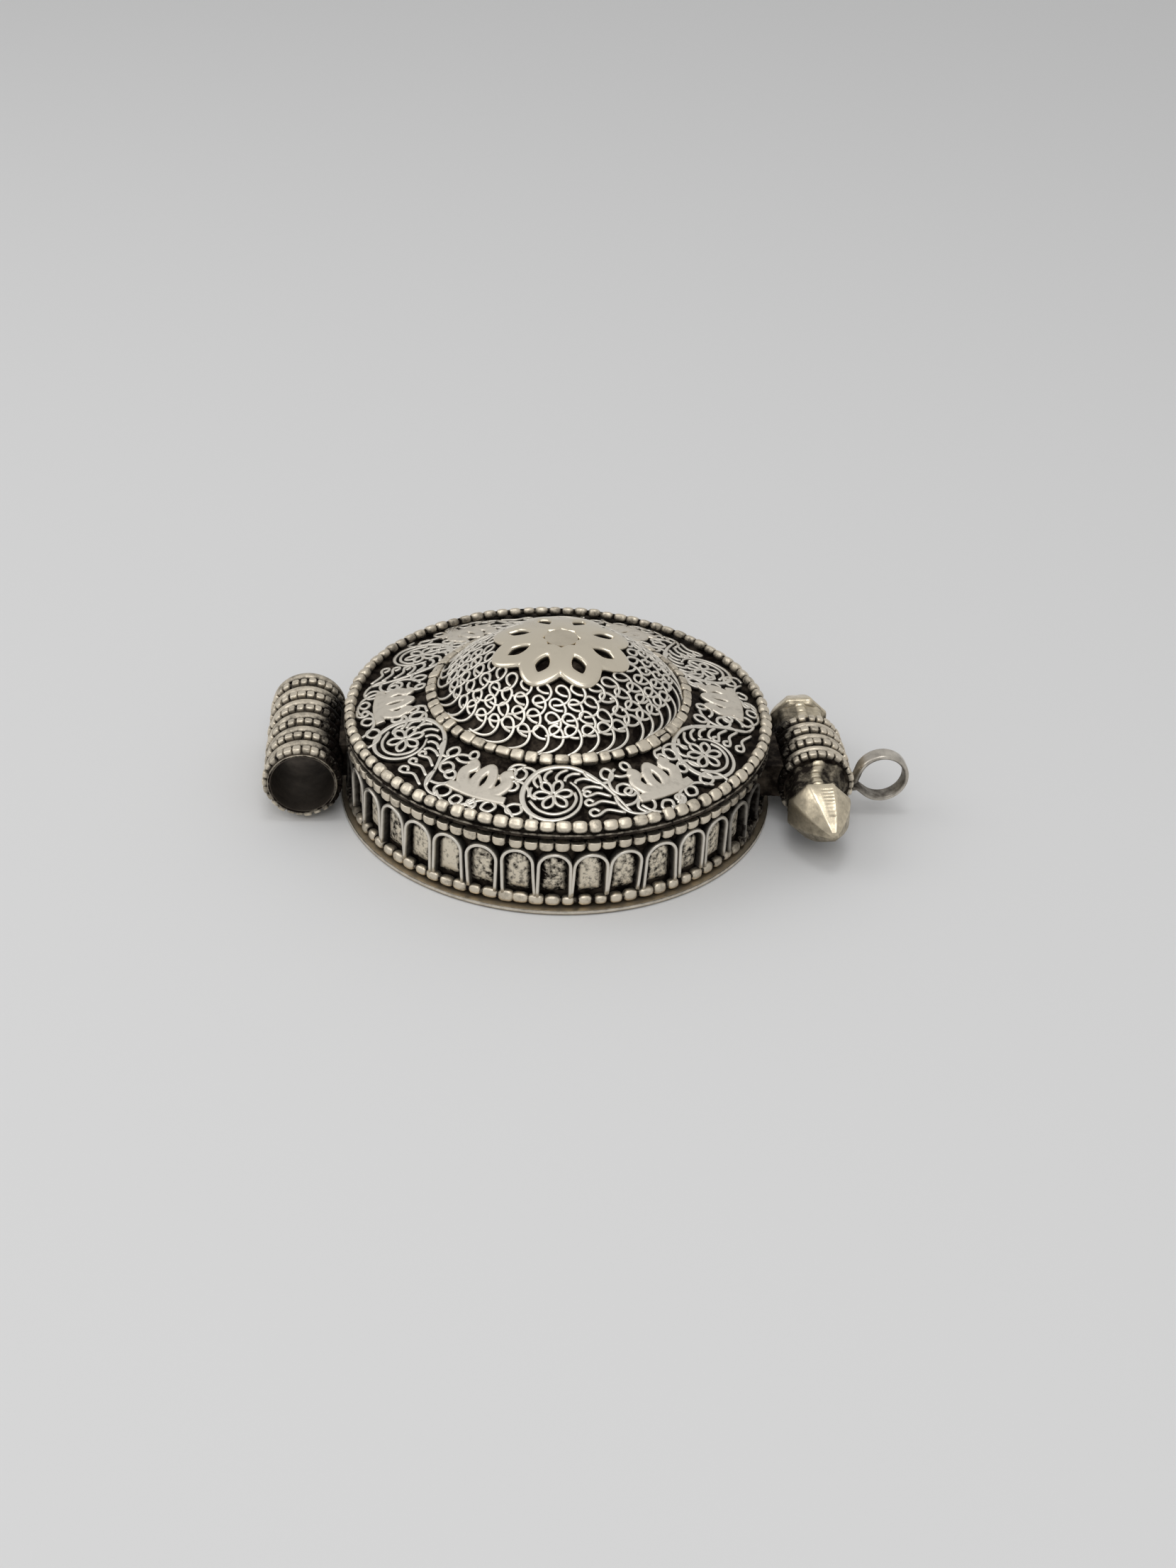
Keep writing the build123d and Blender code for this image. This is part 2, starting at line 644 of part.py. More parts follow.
# Cord tube
save(bail_tube(), "bail_tube")
ringed("bail", BAIL_SPOT, BAIL_RADIUS, BAIL_LENGTH, ("bead", "plain") * BAIL_RING_PAIRS)
save(saddle(BAIL_SPOT, BAIL_REACH), "bail_saddle")

# Finial and eye
save(finial_tube(), "finial_tube")
ringed("finial", FINIAL_SPOT, FINIAL_RADIUS, FINIAL_LENGTH, FINIAL_RINGS)
save(saddle(FINIAL_SPOT, FINIAL_REACH), "finial_saddle")
save(placed(finial_neck(FRONT_BUD_RADIUS), end_plane(-1, 0, FRONT_BUD_ASIDE)), "finial_front_neck")
front_bud = finial_bud(FRONT_BUD_RADIUS, FRONT_BUD_BEND)
save(placed(front_bud, end_plane(-1, NECK_LENGTH, FRONT_BUD_ASIDE)), "finial_front_bud")
save(placed(finial_neck(REAR_BUD_RADIUS), end_plane(1, 0, 0)), "finial_rear_neck")
save(placed(finial_bud(REAR_BUD_RADIUS, 0), end_plane(1, NECK_LENGTH, 0)), "finial_rear_bud")
save(eye_strap(), "eye_strap")
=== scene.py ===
"""Looks of the ghau amulet box: filigree, beaded wires, plates and aged white metal on the CAD frame."""

import json
import math
import random

import bmesh
import bpy
import numpy as np
from mathutils import Matrix, Vector


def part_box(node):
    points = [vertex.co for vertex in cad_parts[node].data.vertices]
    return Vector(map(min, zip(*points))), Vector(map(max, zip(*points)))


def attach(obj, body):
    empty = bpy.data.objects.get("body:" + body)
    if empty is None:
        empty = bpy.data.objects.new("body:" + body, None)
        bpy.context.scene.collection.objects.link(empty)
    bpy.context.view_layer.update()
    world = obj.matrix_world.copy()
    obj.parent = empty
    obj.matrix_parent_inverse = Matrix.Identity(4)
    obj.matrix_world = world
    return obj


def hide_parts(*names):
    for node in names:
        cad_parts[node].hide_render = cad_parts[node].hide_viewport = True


MM = 0.001
TINY = 1e-12
RNG = random.Random(11)

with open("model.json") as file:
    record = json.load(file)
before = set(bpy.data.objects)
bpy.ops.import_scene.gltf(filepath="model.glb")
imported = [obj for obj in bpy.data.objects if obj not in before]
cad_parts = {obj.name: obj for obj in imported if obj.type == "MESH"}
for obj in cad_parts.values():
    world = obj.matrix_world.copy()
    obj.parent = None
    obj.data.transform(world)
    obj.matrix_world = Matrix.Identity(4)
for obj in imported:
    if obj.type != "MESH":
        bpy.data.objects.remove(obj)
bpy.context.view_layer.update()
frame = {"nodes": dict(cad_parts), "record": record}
nodes = frame["nodes"]


# Sizes of the frame, mm
def corners(node):
    """Lowest and highest corner of a node."""
    low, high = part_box(node)
    return np.array(low) / MM, np.array(high) / MM


def middle(node):
    low, high = corners(node)
    return (low + high) / 2


def span(node):
    low, high = corners(node)
    return high - low


def mount(name):
    """Place, axis and dimensions of a bore."""
    found = next(m for m in frame["record"]["mounts"] if m["name"] == name)
    return np.array(found["pos_m"]) / MM, np.array(found["axis"], float), found["dims"]


UP = np.array([0, 0, 1.0])
WALL_RADIUS = corners("wall_band")[1][0]
WALL_TOP = corners("wall_band")[1][2]
WALL_THICKNESS = 0.7
WALL_INNER = WALL_RADIUS - WALL_THICKNESS
SHEET_THICKNESS = 0.6
LIP_RADIUS = corners("face_sheet")[1][0]
LIP_TOP = WALL_TOP + SHEET_THICKNESS
DOME_APEX = corners("face_sheet")[1][2]
DOME_RISE = 8.5
DOME_FOOT = DOME_APEX - DOME_RISE
DOME_FOOT_RADIUS = 17.2
DOME_SPHERE = (DOME_FOOT_RADIUS**2 + DOME_RISE**2) / (2 * DOME_RISE)
DOME_CENTRE = DOME_APEX - DOME_SPHERE
CONE_SLOPE = math.atan2(DOME_FOOT - LIP_TOP, WALL_INNER - DOME_FOOT_RADIUS)
DOME_BEAD_OFFSET = 0.65  # dome bead wire outside the foot of the dome
BEAD_RADIUS = 0.74  # of the solid bead wires
CONE_MIDDLE = 23.25  # radius at the middle of the cone's ornament
COVER_RADIUS = corners("back_plate")[1][0]
COVER_TOP = corners("back_plate")[1][2]
TUBE_WALL = 0.4
BAIL_SPOT, FRONT, BAIL_DIMS = mount("cord_bore")
RIGHT = np.cross(UP, FRONT)
BAIL_RADIUS = BAIL_DIMS["r_mm"] + TUBE_WALL
BAIL_LENGTH = BAIL_DIMS["length_mm"]
FINIAL_SPOT = middle("finial_tube")
FINIAL_RADIUS = span("finial_tube")[2] / 2
FINIAL_LENGTH = 11.0
EYE_SPOT, EYE_AXIS, EYE_DIMS = mount("pendant_eye")

# Materials
SILVER = (0.85, 0.8, 0.71)
BEAD_SILVER = (0.77, 0.69, 0.56)
PLATE_SILVER = (0.78, 0.72, 0.62)
POLISHED = (0.8, 0.72, 0.58)
PAD_SILVER = (0.84, 0.76, 0.62)
BUD_GOLD = (0.82, 0.72, 0.54)
STRAP_GREY = (0.7, 0.65, 0.57)
COVER_GOLD = (0.72, 0.62, 0.46)
SHEET_BROWN = (0.26, 0.21, 0.16)
BORE_BROWN = (0.22, 0.185, 0.15)
OXIDE = (0.016, 0.012, 0.01)
BUD_OXIDE = (0.03, 0.024, 0.02)
STRAP_OXIDE = (0.06, 0.05, 0.04)
BORE_OXIDE = (0.045, 0.037, 0.03)
COVER_BROWN = (0.12, 0.085, 0.055)
BOSS_BROWN = (0.3, 0.26, 0.2)
OXIDE_ROUGH = 0.75
NOISE_DETAIL = 5.0
NOISE_ROUGH = 0.65
BUMP_DEPTH = 0.1


def material(name, bright, dark, rough, wear_and_painted_light=True, level=0.5, mottle=0.3, grain=900, bump=0.1):
    """Metal that goes from oxide to worn bright by the piece's wear attribute, which also carries painted
    light and shade, and a mottling noise.
    """
    mat = bpy.data.materials.new(name)
    mat.use_nodes = True
    tree = mat.node_tree
    shader = tree.nodes["Principled BSDF"]
    shader.inputs["Metallic"].default_value = 1.0
    where = tree.nodes.new("ShaderNodeTexCoord")
    noise = tree.nodes.new("ShaderNodeTexNoise")
    noise.inputs["Scale"].default_value = grain
    noise.inputs["Detail"].default_value = NOISE_DETAIL
    noise.inputs["Roughness"].default_value = NOISE_ROUGH
    tree.links.new(where.outputs["Object"], noise.inputs["Vector"])
    spread = tree.nodes.new("ShaderNodeMath")
    spread.operation = "MULTIPLY_ADD"
    spread.inputs[1].default_value = 2 * mottle
    spread.inputs[2].default_value = -mottle if wear_and_painted_light else level - mottle
    tree.links.new(noise.outputs["Fac"], spread.inputs[0])
    total = tree.nodes.new("ShaderNodeMath")
    total.operation = "ADD"
    total.use_clamp = True
    total.inputs[1].default_value = 0.0
    tree.links.new(spread.outputs[0], total.inputs[0])
    if wear_and_painted_light:
        attribute = tree.nodes.new("ShaderNodeAttribute")
        attribute.attribute_name = "wear_and_painted_light"
        tree.links.new(attribute.outputs["Fac"], total.inputs[1])
    colour = tree.nodes.new("ShaderNodeMix")
    colour.data_type = "RGBA"
    colour.inputs["A"].default_value = (*dark, 1)
    colour.inputs["B"].default_value = (*bright, 1)
    tree.links.new(total.outputs[0], colour.inputs["Factor"])
    tree.links.new(colour.outputs["Result"], shader.inputs["Base Color"])
    gloss = tree.nodes.new("ShaderNodeMapRange")
    gloss.inputs["To Min"].default_value = OXIDE_ROUGH
    gloss.inputs["To Max"].default_value = rough
    tree.links.new(total.outputs[0], gloss.inputs["Value"])
    tree.links.new(gloss.outputs["Result"], shader.inputs["Roughness"])
    relief = tree.nodes.new("ShaderNodeBump")
    relief.inputs["Strength"].default_value = bump
    relief.inputs["Distance"].default_value = BUMP_DEPTH * MM
    tree.links.new(noise.outputs["Fac"], relief.inputs["Height"])
    tree.links.new(relief.outputs["Normal"], shader.inputs["Normal"])
    return mat


wire_metal = material("wire_metal", SILVER, OXIDE, 0.36, mottle=0.2)
bead_metal = material("bead_metal", BEAD_SILVER, OXIDE, 0.4, mottle=0.95, grain=1000, bump=0.35)
plate_metal = material("plate_metal", PLATE_SILVER, OXIDE, 0.4, mottle=0.6, grain=800, bump=0.2)
polished_metal = material("polished_metal", POLISHED, OXIDE, 0.25, mottle=0.16, grain=300, bump=0.05)
petal_metal = material("petal_metal", PAD_SILVER, OXIDE, 0.45, mottle=2.2, grain=1500, bump=0.4)
bud_metal = material("bud_metal", BUD_GOLD, BUD_OXIDE, 0.24, mottle=0.6, grain=800, bump=0.25)
strap_metal = material("strap_metal", STRAP_GREY, STRAP_OXIDE, 0.2, mottle=0.7, grain=500)
sheet_metal = material("sheet_metal", SHEET_BROWN, OXIDE, 0.6, False, 0.1, mottle=0.9, grain=420)
cover_metal = material("cover_metal", COVER_GOLD, COVER_BROWN, 0.32, False, 0.62, mottle=0.6, grain=260)
boss_metal = material("boss_metal", POLISHED, BOSS_BROWN, 0.3, False, 0.75, grain=300)
bore_metal = material("bore_metal", BORE_BROWN, BORE_OXIDE, 0.42, False, mottle=0.8, grain=240)


# Mesh building
def grid_faces(rows, columns, round_rows=False, round_columns=True):
    """Quads of a grid of points given row by row."""
    faces = []
    for i in range(rows if round_rows else rows - 1):
        for j in range(columns if round_columns else columns - 1):
            here, below = i * columns, (i + 1) % rows * columns
            beside = (j + 1) % columns
            faces.append((here + j, here + beside, below + beside, below + j))
    return faces


class Pool:
    """Vertices, faces, and wear with painted light and shade, of one piece, in mm."""

    def __init__(self):
        self.verts = []
        self.wear_and_painted_light = []
        self.faces = []
        self.count = 0

    def add(self, verts, faces, wear_and_painted_light):
        self.verts.append(np.asarray(verts, float).reshape(-1, 3))
        self.wear_and_painted_light.append(np.asarray(wear_and_painted_light, float).ravel())
        self.faces.extend([tuple(i + self.count for i in face) for face in faces])
        self.count += len(self.verts[-1])

    def skin(self, rings, wear_and_painted_light, closed=False):
        """Skin over rings of points, capped at both ends unless it is closed on itself."""
        rows, columns = rings.shape[:2]
        faces = grid_faces(rows, columns, closed)
        if not closed:
            faces.append(tuple(range(columns)))
            faces.append(tuple(range(rows * columns - 1, (rows - 1) * columns - 1, -1)))
        self.add(rings, faces, wear_and_painted_light)

    def piece(self, name, mat, body, slot, *stands_for):
        """Mesh object of the pool, riding on its body in place of the nodes that it stands for."""
        mesh = bpy.data.meshes.new(name)
        mesh.from_pydata(np.vstack(self.verts) * MM, [], self.faces)
        mesh.update()
        layer = mesh.attributes.new("wear_and_painted_light", "FLOAT", "POINT")
        layer.data.foreach_set("value", np.concatenate(self.wear_and_painted_light).astype(np.float32))
        work = bmesh.new()
        work.from_mesh(mesh)
        bmesh.ops.recalc_face_normals(work, faces=work.faces)
        work.to_mesh(mesh)
        work.free()
        mesh.shade_smooth()
        mesh.materials.append(mat)
        obj = bpy.data.objects.new(name, mesh)
        bpy.context.scene.collection.objects.link(obj)
        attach(obj, body)
        if stands_for:
            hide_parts(*stands_for)


def curve(points, steps=5, closed=False):
    """Smooth curve through 2-D points."""
    pts = np.asarray(points, float)
    if closed:
        pts = np.vstack([pts[-1], pts, pts[:2]])
    else:
        pts = np.vstack([2 * pts[0] - pts[1], pts, 2 * pts[-1] - pts[-2]])
    out = []
    t = np.linspace(0, 1, steps, endpoint=False)[:, None]
    for a, b, c, d in zip(pts[:-3], pts[1:-2], pts[2:-1], pts[3:]):
        slope = (c - a) * t + (2 * a - 5 * b + 4 * c - d) * t**2
        out.append(0.5 * (2 * b + slope + (3 * b - a - 3 * c + d) * t**3))
    if not closed:
        out.append(pts[-2:-1])
    return np.vstack(out)


def around_circle(count):
    """Angles in radians, evenly round a circle."""
    return np.linspace(0, 2 * math.pi, count, endpoint=False)


def smoothstep(low, high, value):
    t = np.clip((np.asarray(value, float) - low) / (high - low), 0, 1)
    return t * t * (3 - 2 * t)


def power(value, exponent):
    """Power that keeps the sign."""
    return np.sign(value) * np.abs(value) ** exponent


def wobble(amount):
    """Stray of handwork, up to an amount either way."""
    return RNG.uniform(-amount, amount)


def turned(points, angle, scale=1.0, shift=(0, 0)):
    """2-D points scaled, turned and moved."""
    pts = np.asarray(points, float) * scale
    c, s = math.cos(math.radians(angle)), math.sin(math.radians(angle))
    return pts @ np.array([[c, s], [-s, c]]) + np.asarray(shift)


# Section of a filed-down wire, over its width and height, and how worn each corner is
WIRE_SIDE = ((0.5, -0.05), (0.5, 0.7), (0.43, 0.92), (0.3, 1.0))
WIRE_SHAPE = np.array([*((-x, y) for x, y in WIRE_SIDE), *WIRE_SIDE[::-1]])
WIRE_WEAR = np.array([0.0, 0.15, 0.8, 1.0, 1.0, 0.8, 0.15, 0.0])


def strip(pool, path, place, width, height, closed=False, shine=1.0):
    """Flat-topped wire along a 2-D path on a surface: place(u, v) gives points and normals."""
    path = np.asarray(path, float)
    points, normals = place(path[:, 0], path[:, 1])
    if closed:
        run = np.roll(points, -1, 0) - np.roll(points, 1, 0)
    else:
        run = np.gradient(points, axis=0)
    side = np.cross(run, normals)
    side /= np.linalg.norm(side, axis=1)[:, None] + TINY
    width = np.broadcast_to(np.asarray(width, float), len(path))
    rings = (
        points[:, None, :]
        + side[:, None, :] * (WIRE_SHAPE[:, 0][None, :, None] * width[:, None, None])
        + normals[:, None, :] * (WIRE_SHAPE[:, 1][None, :, None] * height)
    )
    pool.skin(rings, np.tile(WIRE_WEAR, len(path)) * shine, closed)


# Surfaces that wires lie on
LEAST_SINE = 0.05  # keeps the angle along a row finite at the apex


def on_dome(turn, polar):
    """u along the row, v towards the apex."""

    def place(u, v):
        tilt = math.radians(polar) - v / DOME_SPHERE
        angle = math.radians(turn) + u / (DOME_SPHERE * np.maximum(np.sin(tilt), LEAST_SINE))
        normal = np.stack([np.sin(tilt) * np.cos(angle), np.sin(tilt) * np.sin(angle), np.cos(tilt)], 1)
        return normal * DOME_SPHERE + UP * DOME_CENTRE, normal

    return place


def over_dome(u, v):
    """u and v from the apex of the dome."""
    reach = np.hypot(u, v)
    tilt = reach / DOME_SPHERE
    out = np.stack([u, v], 1) / np.maximum(reach, TINY)[:, None]
    normal = np.column_stack([out * np.sin(tilt)[:, None], np.cos(tilt)])
    return normal * DOME_SPHERE + UP * DOME_CENTRE, normal


def on_cone(turn):
    """u along the ring at its middle, v up the cone."""

    def place(u, v):
        radius = CONE_MIDDLE - v * math.cos(CONE_SLOPE)
        angle = math.radians(turn) + u / CONE_MIDDLE
        out = np.stack([np.cos(angle), np.sin(angle), np.zeros_like(angle)], 1)
        height = DOME_FOOT - (radius - DOME_FOOT_RADIUS) * math.tan(CONE_SLOPE)
        normal = out * math.sin(CONE_SLOPE) + UP * math.cos(CONE_SLOPE)
        return out * radius[:, None] + UP * height[:, None], normal

    return place


def on_wall(turn):
    """u along the wall, v up."""

    def place(u, v):
        angle = math.radians(turn) + u / WALL_RADIUS
        out = np.stack([np.cos(angle), np.sin(angle), np.zeros_like(angle)], 1)
        return out * WALL_RADIUS + UP * np.asarray(v)[:, None], out

    return place


def flat(u, v):
    """The plane, for pieces that are shaped before they are laid on a surface."""
    points = np.stack([u, v, np.zeros_like(u)], 1)
    return points, np.tile(UP, (len(points), 1))


# Painted shade where the tubes meet the wall
TUBE_DARK, TUBE_BRIGHT = WALL_RADIUS + 3.0, WALL_RADIUS + 6.2  # distances from Z
TUBE_SHADE = 0.3
FINIAL_SHADE = (10, 23)  # distances from the XZ plane over which the wall turns bright
BAIL_SHADE = (6, 14)
WALL_IN_SHADE = 0.1


def tube_painted_shade(points):
    """Painted shade on the cord tube and the finial: dark on the side that faces the wall."""
    out = np.hypot(points[..., 0], points[..., 1])
    return (1 + TUBE_SHADE) * smoothstep(TUBE_DARK, TUBE_BRIGHT, out) - TUBE_SHADE


def wall_painted_shade(turn):
    """Painted shade on the wall: dark beside the cord tube and the finial."""
    shade = FINIAL_SHADE if math.cos(math.radians(turn)) > 0 else BAIL_SHADE
    beside = abs(WALL_RADIUS * math.sin(math.radians(turn)))
    return WALL_IN_SHADE + (1 - WALL_IN_SHADE) * float(smoothstep(*shade, beside))


# Filigree of the dome
CURL_HEAD = ((0.85, -0.7), (0.1, -0.55), (-0.55, -0.05), (-0.5, 0.6), (0.05, 0.85), (0.7, 0.45), (1.1, -0.5))
COMMA = CURL_HEAD + ((0.9, -1.5), (0.1, -2.2), (-1.1, -2.6), (-2.3, -2.75))
CURL = CURL_HEAD + ((0.85, -1.4), (0.1, -1.9), (-0.9, -2.05))
# Rows of the dome: angle from the apex, count and shape
DOME_ROWS = ((43.0, 43, COMMA), (38.0, 36, CURL), (32.5, 31, CURL), (26.8, 26, CURL))
DOME_WIRE = 0.42
FACE_RELIEF = 0.65
CURL_SCALE = 1.1
# Strays of a dome curl: share of its step, degrees, scale, place up the dome and height
CURL_STRAYS = (0.09, 11, 0.1, 0.15, 0.05)


def dome_filigree():
    pool = Pool()
    along, lean, grow, rise, tall = CURL_STRAYS
    for row, (polar, count, shape) in enumerate(DOME_ROWS):
        for place in range(count):
            turn = 360 * (place + 0.5 * (row % 2) + wobble(along)) / count
            path = turned(curve(shape), wobble(lean), CURL_SCALE + wobble(grow), (0, wobble(rise)))
            strip(pool, path, on_dome(turn, polar), DOME_WIRE, FACE_RELIEF + wobble(tall))
    names = ("dome_curls_1", "dome_curls_2", "dome_curls_3")
    pool.piece("dome_filigree", wire_metal, "box", "bright_metal", *names)


# Filigree of the cone, one unit of it, head of the comma scroll at the origin
UNITS = 6
FACE_TURN = -91.5  # angle of the first unit
SCROLL = (
    (2.3, 2.2), (3.3, 1.0), (3.6, -0.6), (3.0, -2.5), (1.4, -4.0), (-0.7, -4.4), (-2.7, -3.3), (-3.9, -1.0),
    (-3.8, 1.6), (-2.5, 3.7), (-0.2, 4.75), (2.4, 4.8), (4.7, 3.75), (6.5, 1.95), (7.9, -0.4), (9.1, -3.9),
)
SCROLL_WIDTH = (0.34, 0.38, 0.42, 0.48, 0.56, 0.66, 0.76, 0.82, 0.82, 0.8, 0.78, 0.74, 0.7, 0.62, 0.5, 0.38)
INNER = ((2.8, 0.4), (2.9, -0.9), (2.0, -2.5), (0.3, -3.35), (-1.5, -2.9), (-2.9, -1.4))
FLOWER_PETALS = 6
FLOWER_PETAL = ((0.3, 0.0), (1.15, 0.55), (2.0, 0.55), (2.5, 0.0), (2.0, -0.55), (1.15, -0.55))
FLOWER_STEPS = 4
FLOWER_SPIN = 15
RIBS = (
    ((-2.05, 1.0), (-2.6, 1.5), (-2.9, 2.3), (-2.3, 3.3)),
    ((-1.0, 2.15), (-1.4, 2.7), (-1.2, 3.5), (-0.4, 4.2)),
    ((0.4, 2.35), (0.3, 3.0), (0.9, 3.8), (2.1, 4.3)),
    ((1.6, 2.3), (1.85, 3.0), (2.8, 3.55), (4.1, 3.5)),
    ((3.0, 1.9), (3.3, 2.4), (4.4, 2.65), (5.6, 2.2)),
    ((3.9, 0.6), (4.3, 1.25), (5.5, 1.4), (6.7, 1.0)),
    ((4.95, 0.15), (4.45, 0.5), (3.95, 0.15), (4.2, -0.4), (4.9, -0.25), (5.9, 0.0), (7.4, -0.8)),
    ((5.1, -1.5), (4.6, -1.05), (4.05, -1.4), (4.25, -2.0), (4.95, -1.95), (6.2, -1.5), (7.9, -2.3)),
    ((5.5, -3.1), (4.95, -2.65), (4.35, -3.05), (4.55, -3.75), (5.3, -3.7), (6.5, -3.0), (8.4, -3.9)),
    ((-2.1, -0.9), (-2.6, -0.8), (-3.1, 0.0), (-3.05, 1.0)),
)
HOOK = (
    (-1.5, 1.5), (-1.5, 0.5), (-1.0, -0.5), (-0.1, -1.0), (0.85, -0.8),
    (1.2, -0.1), (0.8, 0.5), (0.1, 0.35), (-0.2, -0.3), (0.2, -0.95),
)
LOOP = (
    (-1.8, -0.45), (-1.1, 0.45), (-0.2, 0.75), (0.35, 0.3), (0.0, -0.35),
    (-0.6, -0.15), (-0.4, 0.6), (0.5, 0.75), (1.3, 0.25), (1.8, -0.45),
)
# Filler curls of one unit: shape, place, turn and scale
FILLERS = (
    (HOOK, 7.2, 3.1, 20, 1.3), (HOOK, 9.4, 0.9, -60, 1.4), (HOOK, 10.3, -2.9, 10, 1.45),
    (LOOP, 13.3, -3.9, 176, 1.5), (LOOP, 17.6, -3.9, 4, 1.5), (HOOK, 20.4, 3.0, 200, 1.3),
    (HOOK, 20.9, -3.7, 150, 1.3), (HOOK, 10.9, 3.3, 70, 1.0), (HOOK, 18.4, 3.5, 250, 0.9),
    (HOOK, 10.2, -0.9, 100, 1.0), (HOOK, 19.6, 0.4, 200, 1.1), (HOOK, 15.2, -4.1, 80, 0.8),
)
CONE_WIRE = 0.48
CONE_LOW, CONE_HIGH = -5.1, 4.6  # edges of the cone that fillers stay between
# Strays of a unit in degrees, in height and in the spin of its flower
UNIT_STRAY, RELIEF_STRAY, SPIN_STRAY = 0.6, 0.04, 12
RIB_TURN_STRAY, RIB_STRAY = 2, 0.06
# Strays of a filler along and up the cone, in degrees and in scale
FILLER_STRAYS = (0.25, 0.2, 18, 0.08)


def cone_fillers(pool, place, tall):
    along, rise, lean, grow = FILLER_STRAYS
    for shape, u, v, turn, scale in FILLERS:
        spot = (u + wobble(along), v + wobble(rise))
        path = turned(curve(shape), turn + wobble(lean), scale * (1 + wobble(grow)), spot)
        path[:, 1] = np.clip(path[:, 1], CONE_LOW, CONE_HIGH)
        strip(pool, path, place, CONE_WIRE, tall)


def cone_filigree():
    pool = Pool()
    scroll = curve(SCROLL)
    widths = np.interp(np.linspace(0, 1, len(scroll)), np.linspace(0, 1, len(SCROLL)), SCROLL_WIDTH)
    petal_path = curve(FLOWER_PETAL, FLOWER_STEPS, True)
    for unit in range(UNITS):
        place = on_cone(FACE_TURN + 360 / UNITS * unit + wobble(UNIT_STRAY))
        tall = FACE_RELIEF + wobble(RELIEF_STRAY)
        strip(pool, scroll, place, widths, tall)
        strip(pool, curve(INNER), place, CONE_WIRE, tall)
        spin = FLOWER_SPIN + wobble(SPIN_STRAY)
        for petal in range(FLOWER_PETALS):
            path = turned(petal_path, spin + 360 / FLOWER_PETALS * petal)
            strip(pool, path, place, CONE_WIRE, tall, True)
        for rib in RIBS:
            path = turned(curve(rib), wobble(RIB_TURN_STRAY), 1, (wobble(RIB_STRAY), wobble(RIB_STRAY)))
            strip(pool, path, place, CONE_WIRE, tall)
        cone_fillers(pool, place, tall)
    names = ("scroll_frames", "frame_flowers", "frame_ribs", "cone_curls")
    pool.piece("cone_filigree", wire_metal, "box", "bright_metal", *names)


# Pierced plates, drawn as broad strokes in the plane, merged and then laid on the face
PLATE_STEPS = 6
SOFTEN = 0.5
WORN_FROM, WORN_TO = 0.4, 0.8  # shares of a plate's height


def merged(pool, voxel):
    """Vertices and faces of a pool after its overlapping strokes are made one skin."""
    mesh = bpy.data.meshes.new("strokes")
    mesh.from_pydata(np.vstack(pool.verts), [], pool.faces)
    obj = bpy.data.objects.new("strokes", mesh)
    bpy.context.scene.collection.objects.link(obj)
    remesh = obj.modifiers.new("merge", "REMESH")
    remesh.mode = "VOXEL"
    remesh.voxel_size = voxel
    soft = obj.modifiers.new("soften", "SMOOTH")
    soft.factor = SOFTEN
    soft.iterations = 1
    shaped = obj.evaluated_get(bpy.context.evaluated_depsgraph_get()).to_mesh()
    verts = np.zeros(3 * len(shaped.vertices))
    shaped.vertices.foreach_get("co", verts)
    faces = [tuple(p.vertices) for p in shaped.polygons]
    bpy.data.objects.remove(obj)
    return verts.reshape(-1, 3), faces


def laid(pool, verts, faces, place, tall):
    """A flat shape set on a surface, its wear from its height."""
    points, normals = place(verts[:, 0], verts[:, 1])
    pool.add(points + normals * verts[:, 2:3], faces, smoothstep(WORN_FROM, WORN_TO, verts[:, 2] / tall))


LOTUS_PETALS = 8
LOTUS_PETAL = (
    (3.2, 0.0), (4.7, 1.55), (6.7, 2.0), (8.3, 1.1), (8.95, 0.0), (8.3, -1.1), (6.7, -2.0), (4.7, -1.55),
)
LOTUS_STROKE = 2.35
LOTUS_RING = 3.3
LOTUS_RING_STROKE = 1.5
LOTUS_RING_POINTS = 48
LOTUS_RELIEF = 1.05
LOTUS_VOXEL = 0.13


def centre_plate():
    strokes = Pool()
    for petal in range(LOTUS_PETALS):
        path = turned(curve(LOTUS_PETAL, PLATE_STEPS, True), 360 / LOTUS_PETALS * (petal + 0.5))
        strip(strokes, path, flat, LOTUS_STROKE, LOTUS_RELIEF, True)
    turns = around_circle(LOTUS_RING_POINTS)
    ring = LOTUS_RING * np.column_stack([np.cos(turns), np.sin(turns)])
    strip(strokes, ring, flat, LOTUS_RING_STROKE, LOTUS_RELIEF, True)
    pool = Pool()
    laid(pool, *merged(strokes, LOTUS_VOXEL), over_dome, LOTUS_RELIEF)
    pool.piece("centre_lotus", polished_metal, "box", "bright_metal", "centre_plate")


# Strokes of a leaf plate: path, width and whether it is closed
LEAF = (
    (((0.0, -2.7), (-0.95, -0.7), (-0.8, 1.3), (0.0, 2.7), (0.8, 1.3), (0.95, -0.7)), 1.5, True),
    (((-0.7, -2.4), (-2.3, -1.5), (-3.15, 0.4), (-2.5, 1.9), (-3.5, 2.6)), 1.8, False),
    (((0.7, -2.4), (2.3, -1.5), (3.15, 0.4), (2.5, 1.9), (3.5, 2.6)), 1.8, False),
    (((-3.9, -2.7), (0.0, -2.9), (3.9, -2.7)), 1.6, False),
)
LEAF_RELIEF = 0.8
LEAF_HEIGHT = 0.88
LEAF_AT = (14.9, 0.45)  # along and up the cone from the head of the unit's scroll
LEAF_VOXEL = 0.12
LEAF_TURN_STRAY, LEAF_SCALE_STRAY = 5, 0.04


